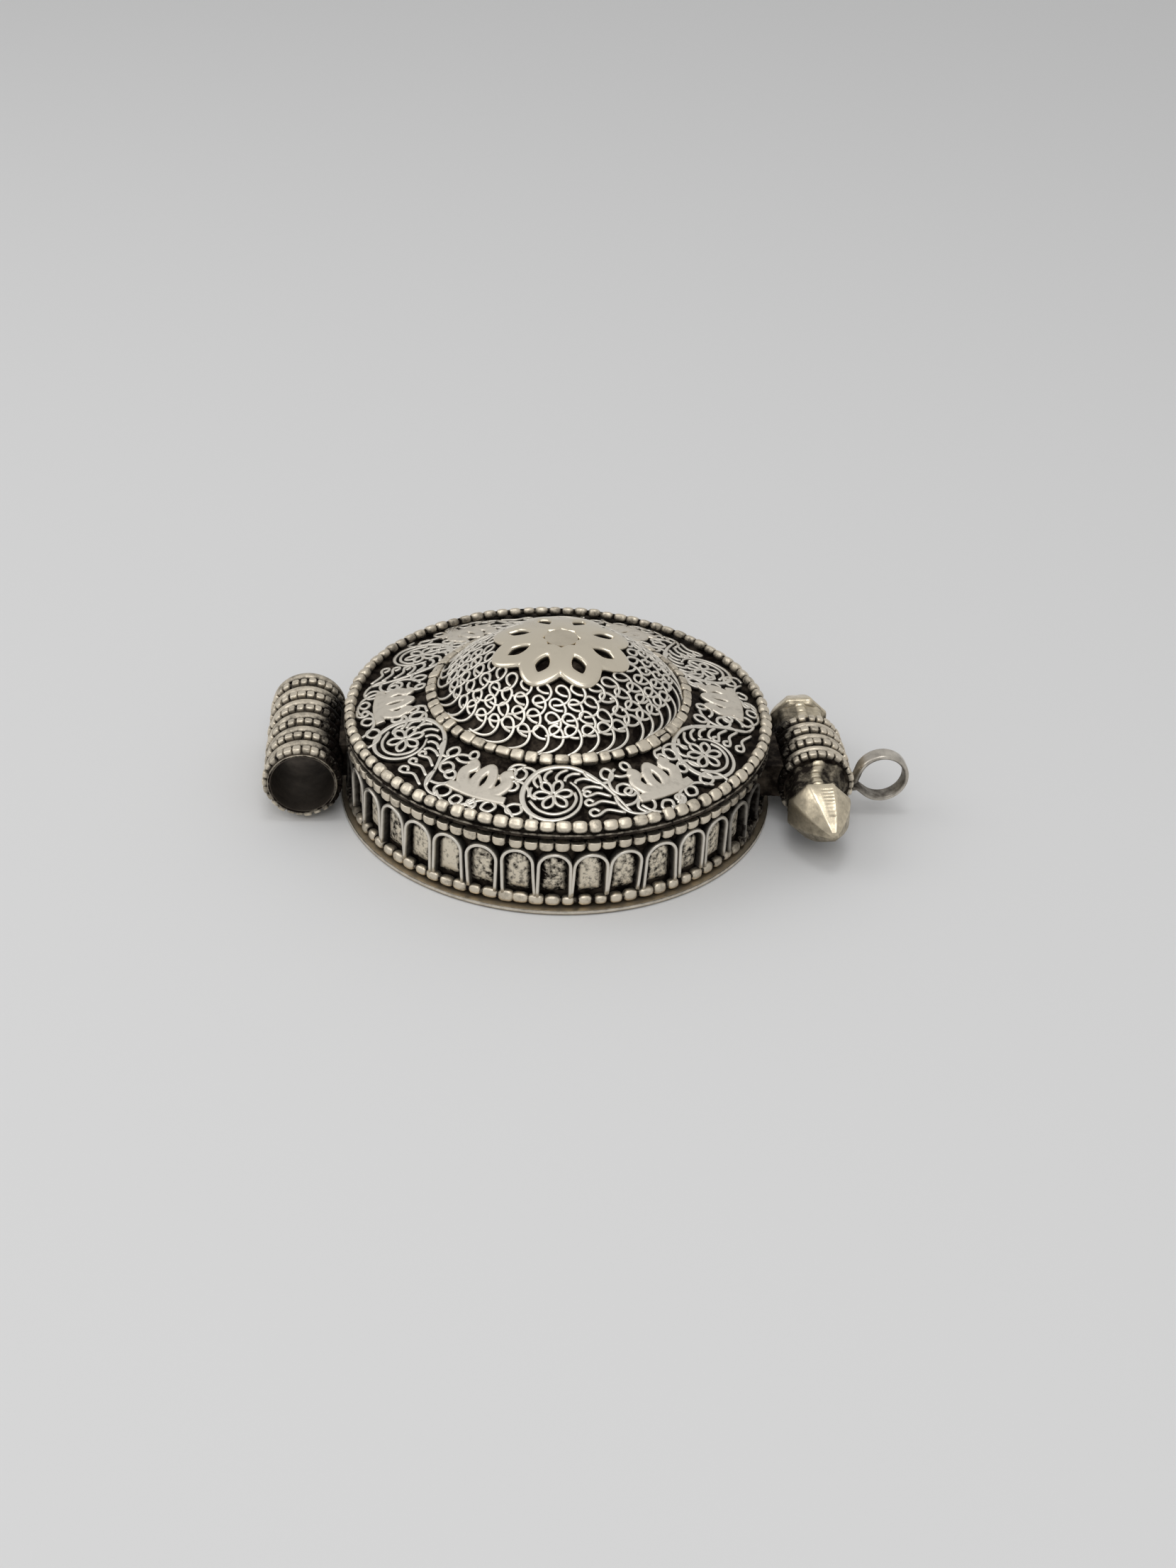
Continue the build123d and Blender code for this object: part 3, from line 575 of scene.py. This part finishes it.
def ring_plates():
    strokes = Pool()
    for path, width, closed in LEAF:
        strip(strokes, curve(path, PLATE_STEPS, closed), flat, width, LEAF_RELIEF, closed)
    verts, faces = merged(strokes, LEAF_VOXEL)
    pool = Pool()
    for unit in range(UNITS):
        moved = verts * (1, LEAF_HEIGHT, 1)
        lean, grow = wobble(LEAF_TURN_STRAY), wobble(LEAF_SCALE_STRAY)
        moved[:, :2] = turned(moved[:, :2], lean, 1 + grow, LEAF_AT)
        laid(pool, moved, faces, on_cone(FACE_TURN + 360 / UNITS * unit), LEAF_RELIEF)
    names = [f"ring_plate_{place + 1}" for place in range(UNITS)]
    pool.piece("ring_leaves", plate_metal, "box", "bright_metal", *names)


# Beads
CUT_CROWN = 0.15  # share of its height that a bead keeps past its cut
# Wear of a bead: at its middle, towards its crown, and what its ends and its flanks lose
BEAD_WORN, BEAD_CROWN, BEAD_ENDS, BEAD_FLANKS = 0.85, 0.5, 0.75, 0.35
BEAD_WEAR_STRAY = 0.15


def bead_shape(square, high=1.0, rings=9, turns=16):
    """Unit pillow, cut flat across the row at high: points and faces."""
    grid = [
        (power(math.cos(a), square) * power(math.cos(b), square),
         power(math.cos(a), square) * power(math.sin(b), square),
         power(math.sin(a), square))
        for a in np.linspace(-math.pi / 2, math.pi / 2, rings + 2)[1:-1]
        for b in around_circle(turns)
    ]
    verts = np.array([*grid, (0, 0, -1), (0, 0, 1)], float)
    verts[:, 1] = np.where(verts[:, 1] > high, high + CUT_CROWN * (verts[:, 1] - high), verts[:, 1])
    faces = grid_faces(rings, turns)
    bottom, top = rings * turns, rings * turns + 1
    last = (rings - 1) * turns
    for j in range(turns):
        k = (j + 1) % turns
        faces.append((bottom, k, j))
        faces.append((top, last + j, last + k))
    return verts, faces


PILLOW = bead_shape(0.7)
BLOCK = bead_shape(0.45)
DRUM = bead_shape(0.7, 0.4)


def bead(pool, shape, centre, along, across, out, sizes, shine, jitter):
    """One bead: sizes are half lengths along, across and out of the surface."""
    verts, faces = shape
    sizes = np.asarray(sizes) * [1 + wobble(jitter) for axis in range(3)]
    points = np.asarray(centre) + (verts * sizes) @ np.array([along, across, out], float)
    lost = BEAD_ENDS * np.abs(verts[:, 0]) ** 4 + BEAD_FLANKS * np.abs(verts[:, 1]) ** 6
    brightness = np.clip(BEAD_WORN + BEAD_CROWN * verts[:, 2] - lost, 0, 1)
    pool.add(points, faces, brightness * shine * (1 + wobble(BEAD_WEAR_STRAY)))


ASKEW = (0.3, 0.5, 0.8)  # any direction off the axes of the hoops


def hoop(pool, centre, axis, radius, half_out, half_along, segments=96, sides=10, shine=0.0, painted_shade=None):
    """Wire ring about an axis, its section an ellipse."""
    axis = np.asarray(axis, float)
    first = np.cross(axis, ASKEW)
    first /= np.linalg.norm(first)
    second = np.cross(axis, first)
    a = around_circle(segments)[:, None, None]
    b = around_circle(sides)[None, :, None]
    out = first * np.cos(a) + second * np.sin(a)
    rings = np.asarray(centre) + out * (radius + half_out * np.cos(b)) + axis * (half_along * np.sin(b))
    wear_and_painted_light = np.tile(np.maximum(np.cos(b[..., 0]), 0), (segments, 1)) * shine
    # A shade function, when given, darkens the ring with painted shade where it faces the wall
    if painted_shade:
        wear_and_painted_light = wear_and_painted_light * painted_shade(rings)
    pool.skin(rings, wear_and_painted_light, True)


RIM_BEADS = LIP_RADIUS - BEAD_RADIUS
DOME_BEADS = DOME_FOOT_RADIUS + DOME_BEAD_OFFSET
LOWER_BEADS = corners("wall_lower_bead_wire")[1][0] - BEAD_RADIUS
UPPER_SET_BACK = 0.04
UPPER_BEADS = LOWER_BEADS - UPPER_SET_BACK
# Rows of beads: piece, node, shape, radius, count, half sizes, tilt above the horizon, painted shade and
# jitter
BEAD_ROWS = (
    ("rim_beads", "rim_bead_wire", PILLOW, RIM_BEADS, 90, (0.97, 0.8, 0.62), 55, None, 0.11),
    ("dome_beads", "dome_bead_wire", BLOCK, DOME_BEADS, 57, (0.9, 0.76, 0.55), 66, None, 0.22),
    ("upper_beads", "wall_upper_bead_wire", DRUM, UPPER_BEADS, 90, (0.97, 0.95, 0.72), 0, wall_painted_shade, 0.07),
    ("lower_beads", "wall_lower_bead_wire", PILLOW, LOWER_BEADS, 88, (1.0, 0.76, 0.66), 8, wall_painted_shade, 0.16),
)
CORE_WIRE = 0.42
STEP_STRAY, BEAD_STRAY = 0.05, 0.04


def bead_row(name, node, shape, radius, count, sizes, tilt, painted_shade, jitter):
    """Beads round Z on a thin core wire, at the height of the node that they stand for."""
    pool = Pool()
    height = middle(node)[2]
    rise = math.radians(tilt)
    for place in range(count):
        angle = 2 * math.pi * (place + wobble(STEP_STRAY)) / count
        out = np.array([math.cos(angle), math.sin(angle), 0])
        along = np.array([-math.sin(angle), math.cos(angle), 0])
        facing = out * math.cos(rise) + UP * math.sin(rise)
        across = np.cross(facing, along)
        centre = out * (radius + wobble(BEAD_STRAY)) + UP * (height + wobble(BEAD_STRAY))
        # Beads beside the cord tube and the finial get painted shade
        shine = painted_shade(math.degrees(angle)) if painted_shade else 1.0
        bead(pool, shape, centre, along, across, facing, sizes, shine, jitter)
    hoop(pool, (0, 0, height), UP, radius, CORE_WIRE, CORE_WIRE)
    pool.piece(name, bead_metal, "box", "bright_metal", node)


# Worn edge of the lip, and a painted highlight along the edge of the cover
EDGE_POINTS = 180
EDGE_HALF = 0.1
LIP_INSET, LIP_DROP = 0.02, 0.1
LIP_HALF = 0.16
LIP_SHINE = 0.3
COVER_INSET = 0.06
COVER_HIGHLIGHT = 1.0


def edge_ring(name, radius, height, half_along, shine, mat, body, slot):
    pool = Pool()
    hoop(pool, (0, 0, height), UP, radius, EDGE_HALF, half_along, EDGE_POINTS, shine=shine)
    pool.piece(name, mat, body, slot)


def sheet_edges():
    lip, cover = LIP_RADIUS - LIP_INSET, COVER_RADIUS - COVER_INSET
    edge_ring("lip_edge", lip, LIP_TOP - LIP_DROP, LIP_HALF, LIP_SHINE, bead_metal, "box", "bright_metal")
    half = COVER_TOP / 2
    # A bright ring at the cover's edge: a painted highlight
    edge_ring("cover_edge_highlight", cover, half, half, COVER_HIGHLIGHT, plate_metal, "back_cover", "cover_metal")


# Arches and pads of the wall
ARCHES = 38
ARCH_STEP = 360 / ARCHES
ARCH_GAP = 0.33  # half the space between two arches
ARCH_HALF = WALL_RADIUS * math.tan(math.radians(ARCH_STEP / 2)) - ARCH_GAP
ARCH_FOOT, ARCH_TOP = 2.15, 8.9
ARCH_WIRE = 0.5
ARCH_DEPTH = 1.3
CROWN_POINTS, LEG_POINTS = 15, 6
LEG_BEND = 1.5  # power by which a stray leg bends towards its foot
# Strays of an arch: share of its width, foot, top, each leg, place and depth
ARCH_STRAYS = (0.05, 0.25, 0.18, 0.45, 0.12, 0.1)
PAD_MARGIN = 0.25
PAD_FOOT, PAD_TOP = 2.4, 8.3
PAD_DEPTH = 0.6
PAD_SINK = 0.03
PAD_SHADE = 0.75  # width of a pad's dark edge
PAD_ROWS, PAD_COLUMNS = 20, 14
PAD_TIP = 0.02  # least square of half a row's width
# Painted shade at a pad's edges: how bright its middle is, and how dark its edge, shifted aside by a stray
# lean
PAD_LIT, PAD_EDGE_SHADE = 1.2, 0.25
PAD_LEAN_STRAY = 0.3
PAD_SHINE, PAD_SHINE_STRAY = 0.9, 0.35


def wall_turns():
    """Angles of the arches, without those that the saddles take."""
    turns = []
    for place in range(ARCHES):
        turn = -90 + ARCH_STEP * place
        low, high = corners("finial_saddle" if math.cos(math.radians(turn)) > 0 else "bail_saddle")
        y = WALL_RADIUS * math.sin(math.radians(turn))
        if y + ARCH_HALF < low[1] or y - ARCH_HALF > high[1]:
            turns.append(turn)
    return turns


def arch_line(half, foot, top):
    spring = top - half
    sweep = np.linspace(math.pi, 0, CROWN_POINTS)
    crown = [(half * math.cos(a), spring + half * math.sin(a)) for a in sweep]
    legs = np.linspace(foot, spring, LEG_POINTS)[:-1]
    return np.array([*[(-half, v) for v in legs], *crown, *[(half, v) for v in legs[::-1]]])


def wall_arches():
    pool = Pool()
    wide, foot, top, leg, aside, deep = ARCH_STRAYS
    for turn in wall_turns():
        path = arch_line(ARCH_HALF * (1 + wobble(wide)), ARCH_FOOT + wobble(foot), ARCH_TOP + wobble(top))
        low = 1 - (path[:, 1] - path[0, 1]) / (path[:, 1].max() - path[0, 1])
        left, right = wobble(leg), wobble(leg)
        path[:, 0] += wobble(aside) + low**LEG_BEND * np.where(path[:, 0] < 0, left, right)
        # Arches beside the cord tube and the finial get painted shade
        strip(pool, path, on_wall(turn), ARCH_WIRE, ARCH_DEPTH + wobble(deep), shine=wall_painted_shade(turn))
    pool.piece("arch_strips", wire_metal, "box", "bright_metal", "wall_arches")


def pad_faces():
    """Front of a pad and the one face that closes its back."""
    last = (PAD_ROWS - 1) * PAD_COLUMNS
    right_side = range(2 * PAD_COLUMNS - 1, last, PAD_COLUMNS)
    top_side = range(PAD_ROWS * PAD_COLUMNS - 1, last - 1, -1)
    left_side = range(last - PAD_COLUMNS, 0, -PAD_COLUMNS)
    border = (*range(PAD_COLUMNS), *right_side, *top_side, *left_side)
    return [*grid_faces(PAD_ROWS, PAD_COLUMNS, False, False), border]


def wall_pads():
    """Hammered tongues inside the arches, crowned, with painted shade darkening their edges."""
    pool = Pool()
    half = ARCH_HALF - PAD_MARGIN
    spring = PAD_TOP - half
    faces = pad_faces()
    for turn in wall_turns():
        verts = []
        wear_and_painted_light = []
        lean = wobble(PAD_LEAN_STRAY)
        for v in np.linspace(PAD_FOOT, PAD_TOP, PAD_ROWS):
            reach = half if v < spring else math.sqrt(max(half**2 - (v - spring) ** 2, PAD_TIP))
            rise = abs(2 * (v - PAD_FOOT) / (PAD_TOP - PAD_FOOT) - 1)
            for s in np.linspace(-1, 1, PAD_COLUMNS):
                edge = max(abs(s), rise)
                verts.append((s * reach, v, PAD_DEPTH * (1 - edge**4) - PAD_SINK))
                # Painted shade: darker towards the pad's edge, shifted to one side by the lean
                inward = min(half - math.hypot(s * reach + lean, max(v - spring, 0)), v - PAD_FOOT)
                wear_and_painted_light.append(PAD_LIT * float(smoothstep(0, PAD_SHADE, inward)) - PAD_EDGE_SHADE)
        verts = np.array(verts)
        points, normals = on_wall(turn)(verts[:, 0], verts[:, 1])
        # Pads beside the cord tube and the finial get painted shade
        shine = wall_painted_shade(turn) * (PAD_SHINE + wobble(PAD_SHINE_STRAY))
        pool.add(points + normals * verts[:, 2:3], faces, np.array(wear_and_painted_light) * shine)
    pool.piece("wall_pads", petal_metal, "box", "petal_metal", "wall_petals")


# Rings of the cord tube and the finial
RING_BEAD = (0.54, 0.6, 0.5)
RING_PITCH = 1.15
RING_LIFT = 0.2
RING_GAP = 0.2
RING_STRAY = 0.06
RING_STEP_STRAY, RING_BEAD_STRAY = 0.1, 0.08
RING_SHINE, RING_SHINE_STRAY = 1.15, 0.3
RING_JITTER = 0.16
PLAIN_RING = 0.4
PLAIN_LIFT = 0.12
PLAIN_POINTS, PLAIN_SIDES = 72, 12
PLAIN_SHINE, PLAIN_SHINE_STRAY = 0.95, 0.25
MOUTH_EDGE = 0.16
MOUTH_HALF = 0.1
MOUTH_SHINE = 0.6
BAIL_KINDS = ("bead", "plain") * 6
FINIAL_KINDS = ("bead", "plain") * 3 + ("bead",)


def bead_ring(pool, here, core):
    count = round(2 * math.pi * core / RING_PITCH)
    for turn in range(count):
        angle = 2 * math.pi * (turn + wobble(RING_STEP_STRAY)) / count
        out = RIGHT * math.cos(angle) + UP * math.sin(angle)
        along = UP * math.cos(angle) - RIGHT * math.sin(angle)
        centre = here + FRONT * wobble(RING_BEAD_STRAY) + out * (core + RING_LIFT)
        # Beads on the side that faces the wall get painted shade
        shine = tube_painted_shade(centre) * (RING_SHINE + wobble(RING_SHINE_STRAY))
        bead(pool, BLOCK, centre, along, FRONT, out, RING_BEAD, shine, RING_JITTER)


def tube_rings(name, spot, core, length, kinds, prefix, mouth):
    """Beaded and plain rings along a tube, with a worn edge at each open mouth."""
    pool = Pool()
    slot = length / len(kinds)
    names = []
    for place, kind in enumerate(kinds):
        here = spot - FRONT * ((place + 0.5) * slot - length / 2 + wobble(RING_STRAY))
        names.append(f"{prefix}_{kind}_ring_{place + 1}")
        if kind == "bead":
            bead_ring(pool, here, core)
            continue
        shine = PLAIN_SHINE + wobble(PLAIN_SHINE_STRAY)
        sizes = (core + PLAIN_LIFT, PLAIN_RING, slot / 2 - RING_GAP)
        # Plain rings get painted shade on the side that faces the wall
        hoop(pool, here, FRONT, *sizes, PLAIN_POINTS, PLAIN_SIDES, shine, tube_painted_shade)
    if mouth:
        for way in (1, -1):
            end = spot + FRONT * way * length / 2
            hoop(pool, end, FRONT, core - MOUTH_EDGE, MOUTH_EDGE, MOUTH_HALF, PLAIN_POINTS, shine=MOUTH_SHINE)
    pool.piece(name, bead_metal, "box", "bright_metal", *names)


# Necks and buds of the finial
NECK_LENGTH = 5.3
NECK_RADIUS = 4.15
NECK_WAIST = 0.3
NECK_RINGS = 40
NECK_FLARE, FLARE_END = 0.3, 0.3  # how far the neck's foot spreads, and over what share of the neck
ASIDE_END = 0.5  # share of the neck over which it moves aside
STRAP_RISE = 0.35
STRAP_EDGE = (0.3, 0.15)  # shares of a facet from its middle
STRAP_NOTCHES = 4
NOTCH_WIDTH = 0.02  # square of a notch's width, as a share of its step
NOTCH_DEPTH = 0.5  # share of the strap's rise
NOTCH_OXIDE = 0.6
STRAP_LIT = 0.9
LIT_FACE = (0.75, 0.95)  # sines of the angles between which straps turn bright: a painted highlight on the straps that face up
GREY_FACE = (-0.2, 0.5)  # cosines of the angles between which the neck turns grey
BUD_LENGTH = 7.4
BUD_SIDES = 8
BUD_TURN = 25.0
BUD_SECTIONS = ((0.0, 0.9), (0.12, 1.0), (0.45, 0.77), (0.78, 0.41), (0.96, 0.14))  # of length, of radius
BUD_STEPS = 16
BUD_AROUND = 96
FACET = 360 / BUD_SIDES
# Painted light and shade of each facet, in turn from BUD_TURN
FACET_LIGHT_AND_SHADE = np.array((0.8, 0.9, 0.72, 0.5, 0.35, 0.25, 0.3, 0.55))
FACET_CORNER = 0.992  # corners rounded to this share of the radius
SEAM_RISE = 0.1
SEAM_WIDTH = 3.0  # degrees
# A painted highlight along the seam
SEAM_HIGHLIGHT = 0.4
HATCHES = 15
HATCH_FROM, HATCH_TO = 0.2, 0.75  # shares of the bud's length
HATCH_SIDE = 0.6  # share of a facet
HATCH_WIDTH = 0.03  # square of a hatch's width, as a share of its step
HATCH_DEPTH = 0.07
HATCH_OXIDE = 0.5
BASE_END, BASE_OXIDE = 0.05, 0.35


def facet_place(angles):
    """Where angles lie on their facet, from 0 at one ridge to 1 at the next."""
    return ((angles - BUD_TURN) % FACET) / FACET


def facet_radius(angles):
    """Distance to the side of a unit polygon, its corners a little rounded."""
    offset = (facet_place(angles) - 0.5) * FACET
    return np.minimum(math.cos(math.radians(FACET / 2)) / np.cos(np.radians(offset)), FACET_CORNER)


def around(spot, angles, radii):
    """Ring of points about a spot, square to the finial."""
    across = (np.cos(np.radians(angles)) * radii)[:, None] * RIGHT
    return spot + across + (np.sin(np.radians(angles)) * radii)[:, None] * UP


def groove(share, count, width):
    """How deep a share of a length lies in one of its even grooves, from 0 to 1."""
    return math.exp(-((((share * count) % 1) - 0.5) ** 2) / width)


def neck(pool, start, way, radius, aside, dull):
    """Waisted neck with a notched strap along each facet, the straps that face up with a painted highlight.
    """
    angles = np.linspace(0, 360, BUD_AROUND, endpoint=False)
    strap = smoothstep(*STRAP_EDGE, np.abs(facet_place(angles) - 0.5))
    brightness = smoothstep(*LIT_FACE, np.sin(np.radians(angles))) * strap
    grey = dull * (0.5 + 0.5 * smoothstep(*GREY_FACE, np.cos(np.radians(angles))))
    shoulder = BUD_SECTIONS[0][1] * radius
    rings = []
    wear_and_painted_light = []
    for share in np.linspace(0, 1, NECK_RINGS):
        waist = NECK_WAIST * math.sin(math.pi * share)
        flare = NECK_FLARE * (1 - smoothstep(0, FLARE_END, share))
        base = NECK_RADIUS + (shoulder - NECK_RADIUS) * share - waist - STRAP_RISE + flare
        notch = groove(share, STRAP_NOTCHES, NOTCH_WIDTH)
        spot = start + FRONT * way * NECK_LENGTH * share + RIGHT * aside * smoothstep(0, ASIDE_END, share)
        rings.append(around(spot, angles, base + STRAP_RISE * strap * (1 - NOTCH_DEPTH * notch)))
        # Painted highlight on the straps that face up; painted shade on the side that faces the wall
        bright = (STRAP_LIT - grey) * brightness * (1 - NOTCH_OXIDE * notch)
        wear_and_painted_light.append((grey + bright) * tube_painted_shade(rings[-1]))
    pool.skin(np.array(rings), np.array(wear_and_painted_light))


def bud(pool, start, way, radius, bend, hatched):
    """Faceted bud with one raised seam, hatched on the facet beside it, with painted light and shade on each
    facet and a painted highlight along the seam.
    """
    angles = np.linspace(0, 360, BUD_AROUND, endpoint=False)
    past = (angles - BUD_TURN) % 360
    seam = np.exp(-(((past - FACET) / SEAM_WIDTH) ** 2))
    base = FACET_LIGHT_AND_SHADE[(past // FACET).astype(int)]
    marked = (past > FACET) & (past < 2 * FACET) & (facet_place(angles) < HATCH_SIDE) & hatched
    rings = []
    wear_and_painted_light = []
    for share, size in curve(BUD_SECTIONS, BUD_STEPS):
        mark = marked * (HATCH_FROM < share < HATCH_TO) * groove(share, HATCHES, HATCH_WIDTH)
        spot = start + FRONT * way * BUD_LENGTH * share + RIGHT * bend * share
        radii = size * radius * facet_radius(angles) + SEAM_RISE * seam - HATCH_DEPTH * mark
        rings.append(around(spot, angles, radii))
        wear_and_painted_light.append(base + SEAM_HIGHLIGHT * seam - HATCH_OXIDE * mark - BASE_OXIDE * (share < BASE_END))
    pool.skin(np.array(rings), np.array(wear_and_painted_light))


def finial_end(end, way, radius, aside, bend, dull, hatched):
    """Neck and bud at one end of the finial: way is 1 at the front and -1 at the rear."""
    pool = Pool()
    start = FINIAL_SPOT + FRONT * way * FINIAL_LENGTH / 2
    neck(pool, start, way, radius, aside, dull)
    bud(pool, start + FRONT * way * NECK_LENGTH + RIGHT * aside, way, radius, bend, hatched)
    pool.piece(f"{end}_bud", bud_metal, "box", "bud_metal", f"finial_{end}_neck", f"finial_{end}_bud")


# Pendant eye
EYE_REACH = 4.5
EYE_POINT = 0.55
EYE_STRAP = 0.72
EYE_BROAD = 1.25
EYE_TURN = 18.0
EYE_SEAT = 0.4
EYE_OPENING = math.pi - 0.62  # angle from the far side at which the bend ends
EYE_POINTS, EYE_SIDES = 60, 20
EYE_PINCH = 0.1  # ends of the strap past the point where they meet
EYE_SPLAY = 1.6  # half the gap between the ends there, in half thicknesses
EYE_THIN, EYE_WIDE = 0.55, 0.4  # powers that round the strap's section
EYE_DULL, EYE_WORN = 0.15, 0.6
# Painted shade on the inner face of the strap: how bright it stays, and the cosine of the section below which
# it falls
EYE_INSIDE_SHADE, EYE_INSIDE_FROM = 0.5, -0.3


def eye_line(radius, half, foot):
    """Middle line of the strap: one end, the bend and the other end."""
    pinch = EYE_DIMS["r_mm"] + EYE_POINT + EYE_PINCH
    sweep = np.linspace(EYE_OPENING, -EYE_OPENING, EYE_POINTS)
    bend = [(radius * math.cos(a), radius * math.sin(a)) for a in sweep]
    gap = EYE_SPLAY * half
    return np.array([(-foot, half), (-pinch, gap), *bend, (-pinch, -gap), (-foot, -half)])


def eye_loop():
    """Strap with rounded edges, bent round until its ends meet, then run to the finial rings."""
    half = EYE_STRAP / 2
    radius = EYE_DIMS["r_mm"] + half
    foot = EYE_REACH + EYE_SEAT
    line = eye_line(radius, half, foot)
    brightness = EYE_DULL + EYE_WORN * smoothstep(-foot, -radius / 2, line[:, 0])
    line = turned(line, EYE_TURN)
    run = np.gradient(line, axis=0)
    run /= np.linalg.norm(run, axis=1)[:, None]
    b = around_circle(EYE_SIDES)
    thick = power(np.cos(b), EYE_THIN) * half
    wide = power(np.sin(b), EYE_WIDE) * EYE_BROAD * EYE_DIMS["length_mm"] / 2
    rings = []
    for (x, y), (rx, ry) in zip(line, run):
        side = UP * rx - RIGHT * ry
        rings.append(EYE_SPOT + RIGHT * x + UP * y + side * thick[:, None] + EYE_AXIS * wide[:, None])
    pool = Pool()
    # The inner face of the strap gets painted shade
    pool.skin(np.array(rings), np.outer(brightness, np.where(np.cos(b) > EYE_INSIDE_FROM, 1.0, EYE_INSIDE_SHADE)))
    pool.piece("eye_loop", strap_metal, "box", "bright_metal", "eye_strap")


# The box, piece by piece
dome_filigree()
cone_filigree()
centre_plate()
ring_plates()
for row in BEAD_ROWS:
    bead_row(*row)
sheet_edges()
wall_arches()
wall_pads()
tube_rings("bail_rings", BAIL_SPOT, BAIL_RADIUS, BAIL_LENGTH, BAIL_KINDS, "bail", True)
tube_rings("finial_rings", FINIAL_SPOT, FINIAL_RADIUS, FINIAL_LENGTH, FINIAL_KINDS, "finial", False)
finial_end("front", 1, radius=4.6, aside=-0.8, bend=1.2, dull=0.08, hatched=True)
finial_end("rear", -1, radius=4.5, aside=0, bend=0, dull=0.75, hatched=False)
eye_loop()

# Nodes that stay as they are, with their metals
LOOKS = {
    "back_plate": cover_metal,
    "back_collar": cover_metal,
    "wall_band": sheet_metal,
    "face_sheet": sheet_metal,
    "centre_boss": boss_metal,
    "bail_tube": bore_metal,
    "bail_saddle": sheet_metal,
    "finial_tube": sheet_metal,
    "finial_saddle": sheet_metal,
}
for node, mat in LOOKS.items():
    nodes[node].data.materials.clear()
    nodes[node].data.materials.append(mat)

# Stage, lengths in m
FLOOR_HALF = 3.0
FLOOR_DROP = 0.2 * MM
FLOOR_COLOUR = (0.72, 0.72, 0.72, 1)
FLOOR_ROUGH = 0.9
WORLD_COLOUR = (0.94, 0.94, 0.94, 1)
WORLD_LEVEL = 0.6
# Lamps: name, place, size and watts
LAMPS = (
    ("key", (0.0, -0.38, 0.5), 0.3, 0.6),
    ("top", (0.0, -0.05, 0.65), 0.2, 0.5),
    ("side", (-0.5, 0.0, 0.45), 0.4, 0.7),
)


def stage():
    floor_mat = bpy.data.materials.new("floor_pale")
    floor_mat.use_nodes = True
    shader = floor_mat.node_tree.nodes["Principled BSDF"]
    shader.inputs["Base Color"].default_value = FLOOR_COLOUR
    shader.inputs["Roughness"].default_value = FLOOR_ROUGH
    mesh = bpy.data.meshes.new("floor")
    edge = [(FLOOR_HALF * x, FLOOR_HALF * y, 0) for x, y in ((-1, -1), (1, -1), (1, 1), (-1, 1))]
    mesh.from_pydata(edge, [], [(0, 1, 2, 3)])
    mesh.materials.append(floor_mat)
    floor = bpy.data.objects.new("floor", mesh)
    floor.location.z = -FLOOR_DROP
    bpy.context.scene.collection.objects.link(floor)


def area_light(name, place, size, watts):
    """Square lamp aimed at the origin."""
    light = bpy.data.lights.new(name, "AREA")
    light.size = size
    light.energy = watts
    obj = bpy.data.objects.new(name, light)
    bpy.context.scene.collection.objects.link(obj)
    obj.location = place
    obj.rotation_euler = (-Vector(place)).to_track_quat("-Z", "Y").to_euler()


def surroundings():
    world = bpy.data.worlds.new("world")
    bpy.context.scene.world = world
    world.use_nodes = True
    background = world.node_tree.nodes["Background"]
    background.inputs["Color"].default_value = WORLD_COLOUR
    background.inputs["Strength"].default_value = WORLD_LEVEL


# Photograph's viewing angle in degrees, distances in mm, and focal length in pixels of its own height
ELEVATION, ROLL, YAW = 33.2, -2.9, 1.5
DISTANCE, SHIFT_X, SHIFT_Y = 287.0, -4.7, -0.35
FOCAL_PIXELS, PHOTO_HEIGHT, SENSOR = 2800, 2212, 36
CLIP_START = 10.0


def camera():
    elevation, roll = math.radians(ELEVATION), math.radians(ROLL)
    right = np.array([1.0, 0, 0])
    up = np.array([0, math.sin(elevation), math.cos(elevation)])
    back = np.array([0, -math.cos(elevation), math.sin(elevation)])
    across = math.cos(roll) * right - math.sin(roll) * up
    upward = math.sin(roll) * right + math.cos(roll) * up
    spot = (-SHIFT_X * across - SHIFT_Y * upward + DISTANCE * back) * MM
    rows = np.column_stack([across, upward, back, spot])
    data = bpy.data.cameras.new("camera")
    data.lens = SENSOR * FOCAL_PIXELS / PHOTO_HEIGHT
    data.clip_start = CLIP_START * MM
    obj = bpy.data.objects.new("camera", data)
    obj.matrix_world = Matrix.Rotation(-math.radians(YAW), 4, "Z") @ Matrix([*rows.tolist(), [0, 0, 0, 1]])
    bpy.context.scene.collection.objects.link(obj)
    bpy.context.scene.camera = obj


stage()
camera()
for lamp in LAMPS:
    area_light(*lamp)
surroundings()
bpy.context.scene.view_settings.view_transform = "Standard"
